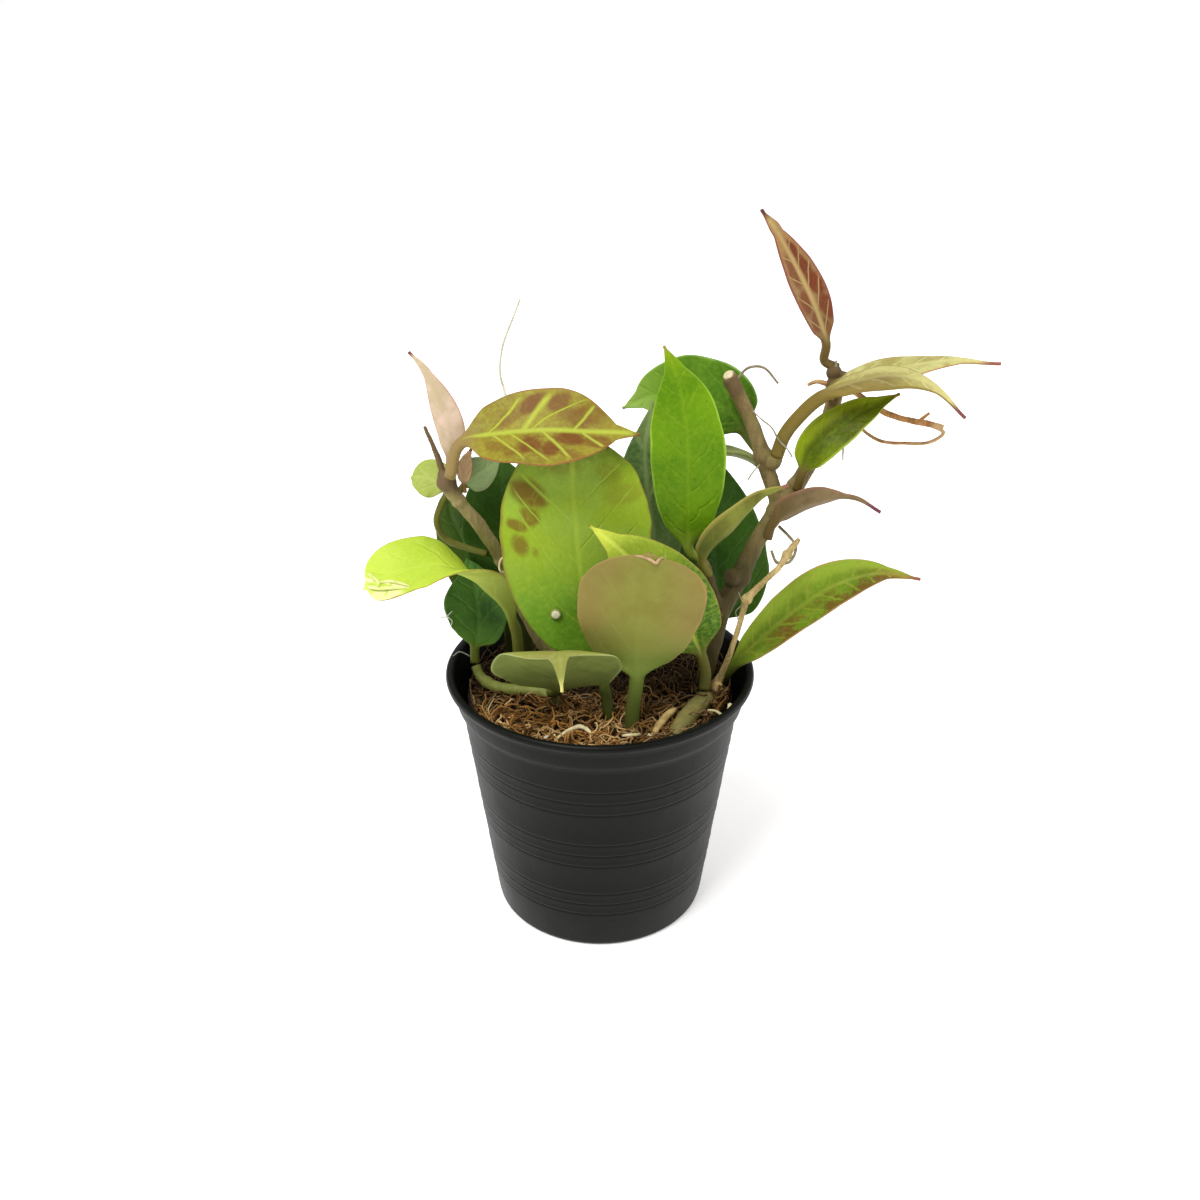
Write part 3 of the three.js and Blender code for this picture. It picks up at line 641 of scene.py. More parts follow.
stems = dict(
    rightStem=dict(
        slot="bark_brown", seed=3,
        paths=[
            [(28.3, 0, 60, 2.4), (28.6, 0, 66.5, 2.4), (31, 2, 77.5, 2.3), (33.5, 4, 88.5, 2.4),
             (38, 7, 97.5, 2.7), (42.5, 9, 107, 2.3), (47.5, 11, 115, 2.5), (53, 13, 122.5, 2.2),
             (58, 17, 130, 2.1), (61.5, 19, 140, 2), (63, 21, 148, 2.2), (63, 21.5, 151, 1.9)],
            [(48.5, 11.5, 116, 2.2), (46, 13, 123.5, 2.1), (43.3, 13.5, 130.5, 2.3), (41.4, 14, 136, 2),
             (37.8, 15, 144, 2), (33.8, 16, 151.2, 2.1)],                                       # side branch
            [(38, 7, 97.5, 2.4), (36, 4.5, 99, 2.3), (34.5, 3.5, 99.5, 2)],                     # blunt stub
            [(33.5, 4, 88.5, 1.6), (30.5, 1.5, 96.5, 1.4), (28.5, -0.5, 103, 1.6), (27.5, -1, 106, 1.3)],
        ],
        knobs=[(38.4, 6.4, 98, 3), (33.3, 3.6, 88, 2.4), (47.6, 10.6, 115.5, 2.9), (43.4, 13.3, 130.6, 2.7),
               (45.9, 12.2, 129.2, 2.4), (46.6, 12, 130.2, 2), (62.6, 20.4, 147.6, 2.7),
               (61.9, 20.8, 151.2, 2.1), (64.4, 20.6, 149.6, 1.9), (57.5, 16.4, 129.4, 2.4),
               (52.6, 12.6, 122.2, 2.5)],
        # foot is painted shade low on the stem, where it stands in shadow between the leaves
        bark=dict(name="oliveBrownBark", light="86734a", dark="6a5834", streak="9a885a", green="6c6c38",
                  crown="5e4a30", crownFrom=0.1445, foot="3c3419", footShadeFrom=0.112),
    ),
    leftStem=dict(
        slot="bark_brown", seed=8,
        paths=[
            [(-11.5, 8, 61, 1.7), (-11.5, 8, 68.5, 1.7), (-17, 7, 78, 1.7), (-22, 6, 90, 1.7),
             (-26.5, 4, 104, 1.8), (-31.8, 1, 115.8, 1.8), (-36.2, -1, 122.9, 1.7), (-39.5, -2, 129, 2.2),
             (-40, -2, 132, 1.6)],
            [(-39.5, -2, 129, 1), (-41.2, -2.5, 136, 0.8), (-44, -3, 144.5, 0.5)],              # dead twig
        ],
        knobs=[(-39.4, -2, 129, 2.6), (-36.6, -1.2, 123.5, 2.1), (-26.6, 3.8, 104.4, 2.1),
               (-38.8, -3.1, 131, 1.8)],
        bark=dict(name="oliveGreyBark", light="a09064", dark="847448", streak="b0a074", green="8c8450",
                  crown="5c4630", crownFrom=0.125),
    ),
    lyingStemRight=dict(
        slot="bark_olive", seed=14, grain=0.05,
        paths=[[(29.4, -7.8, 63, 2.2), (29.2, -8.8, 68.2, 2.4), (27, -13.1, 69.5, 2.6),
                (23.9, -18.9, 69.6, 2.6), (20.4, -25, 68.6, 2.4), (18.3, -28, 65, 2.2)]],
        knobs=[(28.2, -11, 69.2, 2.8)],
        bark=dict(name="greenOliveBark", light="7c7240", dark="6c6434", streak="8a8250", green="70703a",
                  rough=0.5),
    ),
    lyingStemLeft=dict(
        slot="bark_olive", seed=14, grain=0.05,
        paths=[[(-34.3, -0.6, 74.2, 1.3), (-33.4, -1.9, 72, 1.4), (-31, -4, 70.6, 1.6),
                (-27, -6.4, 70.3, 1.6), (-19, -8.5, 70.8, 1.6), (-14, -9.5, 70.2, 1.6),
                (-10.5, -10.5, 66, 1.6)]],
        knobs=[(-31, -4, 70.7, 1.8), (-14, -9.6, 70.2, 1.8)],
        bark=dict(name="petioleOlive", light="7f8440", dark="6a6e30", streak="94985a", green="747c38",
                  rough=0.5),
    ),
    dryTwig=dict(
        slot="dry_tan", seed=21, voxel=0.28, ripple=1.6,
        paths=[[(31.8, -4.6, 63, 1.2), (31.9, -4.8, 70, 1.6), (33.2, -5.6, 74.3, 0.9), (35.3, -6.5, 82, 0.8),
                (36.8, -7.2, 89, 0.75), (38.1, -7.8, 96, 0.8), (38.6, -8, 98.3, 1.1),
                (42.6, -7.5, 102.9, 0.8), (47, -6, 107, 0.75), (49, -4, 109.4, 1.1), (52, -3, 113.6, 0.6)]],
        knobs=[(38.6, -8, 98.4, 1.5), (49, -4, 109.4, 1.4), (32, -4.9, 70.4, 1.8)],
        bark=dict(name="dryTanWood", light="bda56e", dark="86703e", streak="dccb9c", rough=0.85),
    ),
)


def barkMaterial(name, light, dark, streak, green=None, rough=0.75, crown=None, crownFrom=0.0,
                 foot=None, footShadeFrom=0.0):
    shade = Shader(name)
    long = shade.noise(420, 4, 0.6, shade.place((1, 1, 0.16)))
    cloud, fine = shade.noise(120, 3, 0.55), shade.noise(1500, 3, 0.65)
    height = shade.part(shade.place(), "Z")
    base = shade.mix(long.fade(0.32, 0.68), light, dark)
    base = shade.mix(fine.fade(0.45, 0.75) * 0.4, base, streak)
    if green:
        base = shade.mix(cloud.fade(0.4, 0.66) * 0.6, base, green)
    if crown:
        high = (height + (cloud - 0.5) * 0.006).fade(crownFrom, crownFrom + 0.004)
        base = shade.mix(high * 0.85, base, crown)
    # painted shade: the bark is painted darker towards the foot of the stem, where it stands in shadow
    # between the leaves
    if foot:
        low = (height + (cloud - 0.5) * 0.01).fade(footShadeFrom, footShadeFrom - 0.012)
        base = shade.mix(low * 0.8, base, foot)
    lenticels = shade.dots(520).fade(0.16, 0.08) * cloud.fade(0.4, 0.6)
    base = shade.mix(lenticels * 0.5, base, streak)
    ridges = long * 0.6 + fine * 0.35 + lenticels * 0.4
    return shade.finish(base, fine * 0.15 + (rough - 0.08), ridges, 0.0005, 0.2)


def makeStem(name, stem):
    stem = {**wood, **stem}
    parts = [tube("part", points, stem["around"], stem["perSpan"], stem["rough"], stem["seed"] + n)
             for n, points in enumerate(stem["paths"])]
    for *centre, radius in stem["knobs"]:
        parts.append(ballObject("knob", radius * mm, 3, lambda spot: spot + Vector(centre) * mm))
    skin = joinPieces(name, parts)
    remesh = skin.modifiers.new("skin", "REMESH")
    remesh.mode, remesh.voxel_size = "VOXEL", stem["voxel"] * mm
    soften = skin.modifiers.new("soften", "SMOOTH")
    soften.factor, soften.iterations = 0.5, 4
    settle(skin)
    for vert, normal in [(v, v.normal.copy()) for v in skin.data.vertices]:
        spot = Vector((vert.co.x, vert.co.y, vert.co.z * stem["stretch"])) * 1000
        ridge = noise.fractal(spot * stem["ripple"] + Vector((stem["seed"], 0, 0)), 0.8, 2.1, 3)
        vert.co += normal * ridge * stem["grain"] * mm
    skin.data.polygons.foreach_set("use_smooth", [True] * len(skin.data.polygons))
    skin.data.update()
    dress(skin, barkMaterial(**stem["bark"]), stem["slot"], nodeOf(name))


for name, stem in stems.items():
    makeStem(name, stem)
print("stems are made")


# Aerial roots: tubes of uneven thickness, each group in one piece

rootBarks = dict(
    rootTan=dict(light="b4834e", dark="86582f", streak="d4b07c", green="cdb68a", rough=0.8),
    rootPale=dict(light="cfcab4", dark="a8a48a", streak="e6e2d0", rough=0.8),
    rootGrey=dict(light="8c8264", dark="6a6048", streak="a8a082", rough=0.8),
)
roots = dict(
    aerialRootRight=dict(bark="rootTan", paths=[
        [(65.7, 21, 146.9, 0.8), (71, 21.5, 143.5, 0.8), (76.5, 21, 140, 0.8), (83.5, 20, 138, 0.8),
         (88, 19, 137.5, 0.9), (92, 18, 137, 0.5)],
        [(85.5, 19.5, 138, 0.5), (88, 19, 140.5, 0.35)],
        [(88, 19, 137.5, 0.6), (92, 17.5, 135.5, 0.5), (88.5, 17, 133, 0.45), (82, 17.5, 132.5, 0.45),
         (75.5, 18, 133, 0.45), (70.5, 19, 136, 0.45), (67.5, 20, 141, 0.4)],
    ]),
    aerialRootStub=dict(bark="rootTan", paths=[
        [(60.3, 20.5, 148.2, 0.7), (57.5, 21, 148.6, 0.6), (55.2, 21, 147.6, 0.45)],
    ]),
    aerialRootBranch=dict(bark="rootGrey", paths=[
        [(35.5, 18.6, 149, 0.4), (38.8, 19, 152.8, 0.35), (42.8, 18, 153.3, 0.35), (46.8, 17, 149.3, 0.3)],
    ]),
    aerialRootTwig=dict(bark="rootGrey", paths=[
        [(48.4, 9.25, 111.8, 0.4), (50.6, 6, 110.5, 0.4), (52.5, 4.2, 108, 0.4), (51, 2.5, 104.5, 0.4),
         (47.5, 3, 104, 0.4), (46, 4, 107, 0.35)],
    ]),
    aerialRootLeft=dict(bark="rootPale", paths=[
        [(-23.6, -0.7, 151.9, 0.3), (-25, 2, 157.1, 0.26), (-24.1, 3, 163.5, 0.26), (-21.4, 3, 170.3, 0.24),
         (-19.5, 3, 175, 0.22)],
    ]),
)


def makeRoots():
    barks = {name: barkMaterial(name, **look) for name, look in rootBarks.items()}
    for name, root in roots.items():
        piece = tubes(name, root["paths"], around=10, perSpan=14, rough=0.25, seed=5)
        dress(piece, barks[root["bark"]], "root_tan", nodeOf(name))


makeRoots()
print("roots are made")


# Leaves: each is one loft of rings along a stalk and a rib, on the same lines as the solids, with a rounded
# margin, a crease along the midrib and a slight wave. Attributes tell the finish where it is on the leaf:
# leafX and leafY in millimetres across and along, leafA and leafS as shares of the half-width and the length.

leafDefaults = dict(     # what a leaf below doesn't say
    radius=1.5, fold=0.12, cup=0.12, fullest=0.42, dripTip=0.16, shoulder=0.6, taper=0.9, middle=1.3,
    edge=0.9, tipHalf=0.4, rings=56, around=40, wave=0.35, waves=2.5, puff=0.35, crease=0.22, keel=0.3,
    stalkRings=6,
    towardToneAndShade=None, towardFrom=0.6, baseToneAndShade=None, baseTo=0.4, sideTone=None, nearShadeTone=None, nearSide=1,
    nearAcross=(-0.6, 0.1), nearAlong=(0.7, 0.35), tipFrom=0.9, marginWidth=0.1, underDeepTone=None,
    underSideTone=None, underBaseTone=None, veinShare=0.3, veinPitch=7, veinSlope=0.9, veinBend=0,
    veinWidth=0.4, netShare=0.35, patchTone=None, patchShare=0.85, patchCut=0.46, patchSide=0, patchFrom=0.15,
    patchTo=2, speckShare=0, speckTone="2c440c", roughness=0.4, footTone="3c3a1a", footSpan=(0.086, 0.068),
    veins=(), patches=(),
)


def bladeOutline(s, leaf):
    # half-width from 0 to 1: an oval that is widest at fullest, and a narrow drip tip that runs on from it
    fullest, tip = leaf["fullest"], leaf["dripTip"]
    x = min(s / (1 - tip * 0.6), 1)
    rise = x / fullest if x < fullest else (1 - x) / (1 - fullest)
    body = max(math.sin(math.pi / 2 * rise), 0) ** (leaf["shoulder"] if x < fullest else leaf["taper"])
    drip = 0.32 * min(1, (1 - s) / (tip * 1.2)) * ease(s, 0.1, 0.4)
    return max(body, drip)


def faceAt(faces, s):
    # where the blade's upper side looks: one way, or ways at even steps along it
    ways = [unit(np.array(face, float)) for face in faces]
    place = s * (len(ways) - 1)
    low = min(int(place), max(len(ways) - 2, 0))
    return unit(between(ways[low], ways[min(low + 1, len(ways) - 1)], place - low))


def leafStations(leaf):
    # places on the whole path and on the blade, closer together at the blade's ends
    onStalk, onBlade = len(leaf["stalk"]), len(leaf["rib"]) - 1
    spans, steps, count = onStalk + onBlade, onStalk * leaf["stalkRings"], leaf["rings"]
    stations = [(i / steps * onStalk / spans, 0) for i in range(steps)]
    for j in range(count + 1):
        s = between(j / count, 0.5 - 0.5 * math.cos(math.pi * j / count), 0.6)
        stations.append(((onStalk + s * onBlade) / spans, s))
    return stations


def leafMesh(leaf):
    path = Path(leaf["stalk"] + leaf["rib"])
    around, seed = leaf["around"], leaf["seed"]
    angles = 2 * math.pi * (np.arange(around) + 0.5) / around
    across, height = -np.cos(angles), np.sin(angles)
    edge = np.sqrt(across ** 2 + 0.01) - 0.005
    lean = np.tanh(across * 8)
    points, values = [], {key: [] for key in ("leafX", "leafY", "leafS", "leafA", "leafUnder", "leafStalk")}
    stations = leafStations(leaf)
    centres = [path.at(t) for t, s in stations]
    lengths = np.cumsum([0] + [np.linalg.norm(b - a) for a, b in zip(centres, centres[1:])])
    lengths -= lengths[len(leaf["stalk"]) * leaf["stalkRings"]]          # so it is 0 where the blade starts
    for (t, s), centre, length in zip(stations, centres, lengths):
        along = path.along(t)
        side = unit(np.cross(along, faceAt(leaf["face"], s)))
        up = np.cross(side, along)
        flat = ease(s, 0, 0.15)          # 0 on the round stalk, 1 on the flat blade
        least = between(leaf["radius"], leaf["tipHalf"], ease(s, 0, 0.5))
        half = max(leaf["width"] / 2 * bladeOutline(s, leaf), least)
        ragged = [1 + 0.035 * flat * noise.noise(Vector((length * 0.16, seed * 3.1, a > 0))) for a in across]
        tilt = math.atan(between(leaf["fold"], leaf.get("foldTip", leaf["fold"]), s))
        thick = between(leaf["middle"], leaf["edge"], np.abs(across)) * (1 - 0.25 * s)
        offset = 0.5 * thick * np.sign(height) * np.abs(height) ** 0.5
        away = across * half
        offset -= np.where(height > 0, leaf["crease"] * np.exp(-(away / 0.9) ** 2),
                           leaf["keel"] * np.exp(-(away / 0.8) ** 2)) * (1 - 0.5 * s)
        swing = np.sin(2 * math.pi * leaf["waves"] * s + seed + 1.7 * lean)
        shape = leaf["wave"] * half / 12 * edge ** 2 * swing
        shape += [leaf["puff"] * noise.noise(Vector((a * 0.13, length * 0.11, seed * 1.7))) for a in away]
        flatX = across * half * ragged * math.cos(tilt) - lean * math.sin(tilt) * offset
        flatZ = half * edge * (math.sin(tilt) + leaf["cup"] * edge) + math.cos(tilt) * offset + shape
        x = between(across * leaf["radius"], flatX, flat)
        z = between(height * leaf["radius"], flatZ, flat)
        points += list((centre + np.outer(x, side) + np.outer(z, up)) * mm)
        told = dict(leafX=away, leafY=length, leafS=s, leafA=across, leafUnder=(height < 0) * 1.0,
                    leafStalk=1 - flat)
        for key, number in told.items():
            values[key] += list(np.broadcast_to(number, around))
    rings = len(stations)
    for j in (0, rings - 1):
        points.append(sum(points[j * around:(j + 1) * around]) / around)
        for numbers in values.values():
            numbers.append(sum(numbers[j * around:(j + 1) * around]) / around)
    return points, tubeFaces(rings, around), values


def leafVeins(leaf, x, y, away, loose):
    # side veins leave the midrib forward: chosen ones, or a row of them at one pitch
    if leaf["veins"]:
        drawn = 0
        for side, start, slope, bend, width in leaf["veins"]:
            gap = abs(y - away * (away * bend + slope) - start + loose * 1.4)
            drawn = (gap.fade(width * 1.7, 0) * (x * side > 0)).most(drawn)
        return drawn
    pitch, width = leaf["veinPitch"], leaf["veinWidth"]
    run = (y - away * (away * leaf["veinBend"] + leaf["veinSlope"]) + loose * 5) / pitch + (x > 0) * 0.43
    return (abs(run.fraction() - 0.5) * pitch).fade(width * 2.2, width * 0.3)


def leafPatches(shade, leaf, x, y, s, a, loose, blur):
    # patches in patchTone: chosen ovals with a loose outline, or clouds on a side and a stretch of the blade
    if leaf["patches"]:
        spot, drawn = shade.join(x, y), 0
        for across, along, long, wide, turn, strength in leaf["patches"]:
            own = shade.node("ShaderNodeMapping", {"vector_type": "TEXTURE"}, {
                0: spot, "Location": (across, along, 0), "Rotation": (0, 0, math.radians(turn)),
                "Scale": (long, wide, 1)})
            drawn = ((shade.span(own) + loose * 1.3).fade(1.3, 0.6) * strength).most(drawn)
        return drawn
    start, end = leaf["patchFrom"], leaf["patchTo"]
    drawn = blur.fade(leaf["patchCut"], leaf["patchCut"] + 0.1)
    if leaf["patchSide"]:
        drawn = drawn * (a * leaf["patchSide"]).fade(-0.3, 0.5)
    if end < 2:
        drawn = drawn * s.fade(start, start + 0.15) * s.fade(end, end - 0.1)
    return drawn


def leafMaterial(name, leaf):
    shade = Shader(name)
    x, y, s, a, under, stalk = [shade.attribute(key) for key in (
        "leafX", "leafY", "leafS", "leafA", "leafUnder", "leafStalk")]
    where = shade.place(shift=(leaf["seed"] * 0.37, leaf["seed"] * 0.21, 0))
    broad, cloud, fine = [shade.noise(*size, where) for size in ((55, 2, 0.5), (170, 3, 0.6), (900, 3, 0.6))]
    away, edge, loose = abs(x), abs(a), cloud - 0.5
    run = s + loose * 0.2
    sideVein = leafVeins(leaf, x, y, away, loose) * edge.fade(0.96, 0.72) * s.fade(0.02, 0.1)
    vein = sideVein.most(away.fade(1.15, 0.15) * s.fade(0.99, 0.9))
    # a net of fine veins, whose meshes lie along the side veins
    meshes = shade.join(x * 1.5 + loose * 3, y - away * leaf["veinSlope"] + loose * 3)
    net = shade.node("ShaderNodeTexVoronoi", {"feature": "DISTANCE_TO_EDGE"},
                     {0: meshes, "Scale": 1.4 / leaf["veinPitch"]})
    net = net.fade(0.07, 0.0) * edge.fade(0.98, 0.8)

    base = shade.mix(broad.fade(0.36, 0.64), leaf["topTone"], leaf["deepTone"])
    # towardToneAndShade is the blade's tone toward its tip; on the large centre leaf it is a painted shadow
    # under the flat top left leaf
    if leaf["towardToneAndShade"]:
        base = shade.mix(run.fade(leaf["towardFrom"], 1), base, leaf["towardToneAndShade"])
    # baseToneAndShade is the blade's tone at its base; on the round back and behind round leaves it is
    # painted shade
    if leaf["baseToneAndShade"]:
        base = shade.mix(run.fade(leaf["baseTo"], leaf["baseTo"] - 0.3), base, leaf["baseToneAndShade"])
    if leaf["sideTone"]:
        base = shade.mix((a + loose * 0.3).fade(-0.2, -0.7) * 0.8, base, leaf["sideTone"])
    base = shade.mix(fine.fade(0.4, 0.7) * 0.26, base, leaf["veinTone"])
    if leaf["nearShadeTone"]:
        # painted shade: the near half of the blade is turned down there, away from the light, and is painted
        # darker in a band
        near = (a * leaf["nearSide"] + loose * 0.3).fade(*leaf["nearAcross"]) * run.fade(*leaf["nearAlong"])
        base = shade.mix(near * 0.9, base, leaf["nearShadeTone"])
    if leaf["patchTone"]:
        patch = leafPatches(shade, leaf, x, y, s, a, loose, cloud * 0.6 + broad * 0.4)
        patch = patch * (1 - vein * 0.9) * (1 - net * leaf["netShare"])
        base = shade.mix(patch * leaf["patchShare"], base, leaf["patchTone"])
    base = shade.mix(vein.most(net * leaf["netShare"]) * leaf["veinShare"], base, leaf["veinTone"])
    if leaf["speckShare"]:
        speck = shade.dots(650, where).fade(0.16, 0.07) * cloud.fade(0.45, 0.6) * leaf["speckShare"]
        base = shade.mix(speck, base, leaf["speckTone"])
    rim = (edge + loose * 0.12).fade(1 - leaf["marginWidth"] * 1.6, 1)
    base = shade.mix(rim * 0.85, base, leaf["marginTone"])

    low = shade.mix(cloud.fade(0.35, 0.65), leaf["underTone"], leaf["underDeepTone"] or leaf["underTone"])
    if leaf["underSideTone"]:
        low = shade.mix((edge + loose * 0.5).fade(0.1, 0.9) * 0.5, low, leaf["underSideTone"])
    if leaf["underBaseTone"]:
        low = shade.mix(run.fade(0.5, 0.1), low, leaf["underBaseTone"])
    low = shade.mix(vein * leaf["veinShare"] * 0.5, low, leaf["veinTone"])
    low = shade.mix(rim * 0.5, low, leaf["marginTone"])

    base = shade.mix(under, base, low)
    base = shade.mix((s + loose * 0.04).fade(leaf["tipFrom"], leaf["tipFrom"] + 0.09), base, leaf["tipTone"])
    height = shade.part(shade.place(), "Z")
    foot = shade.mix(height.fade(*leaf["footSpan"]) * 0.6, leaf["stalkTone"], leaf["footTone"])
    base = shade.mix(stalk, base, foot)
    relief = fine * 0.12 + cloud * 0.5 - (vein * 0.35 + net * 0.06) * (1 - under * 0.75)
    return shade.finish(base, cloud * 0.12 + under * 0.12 + (leaf["roughness"] - 0.02), relief, 0.0004, 0.1)


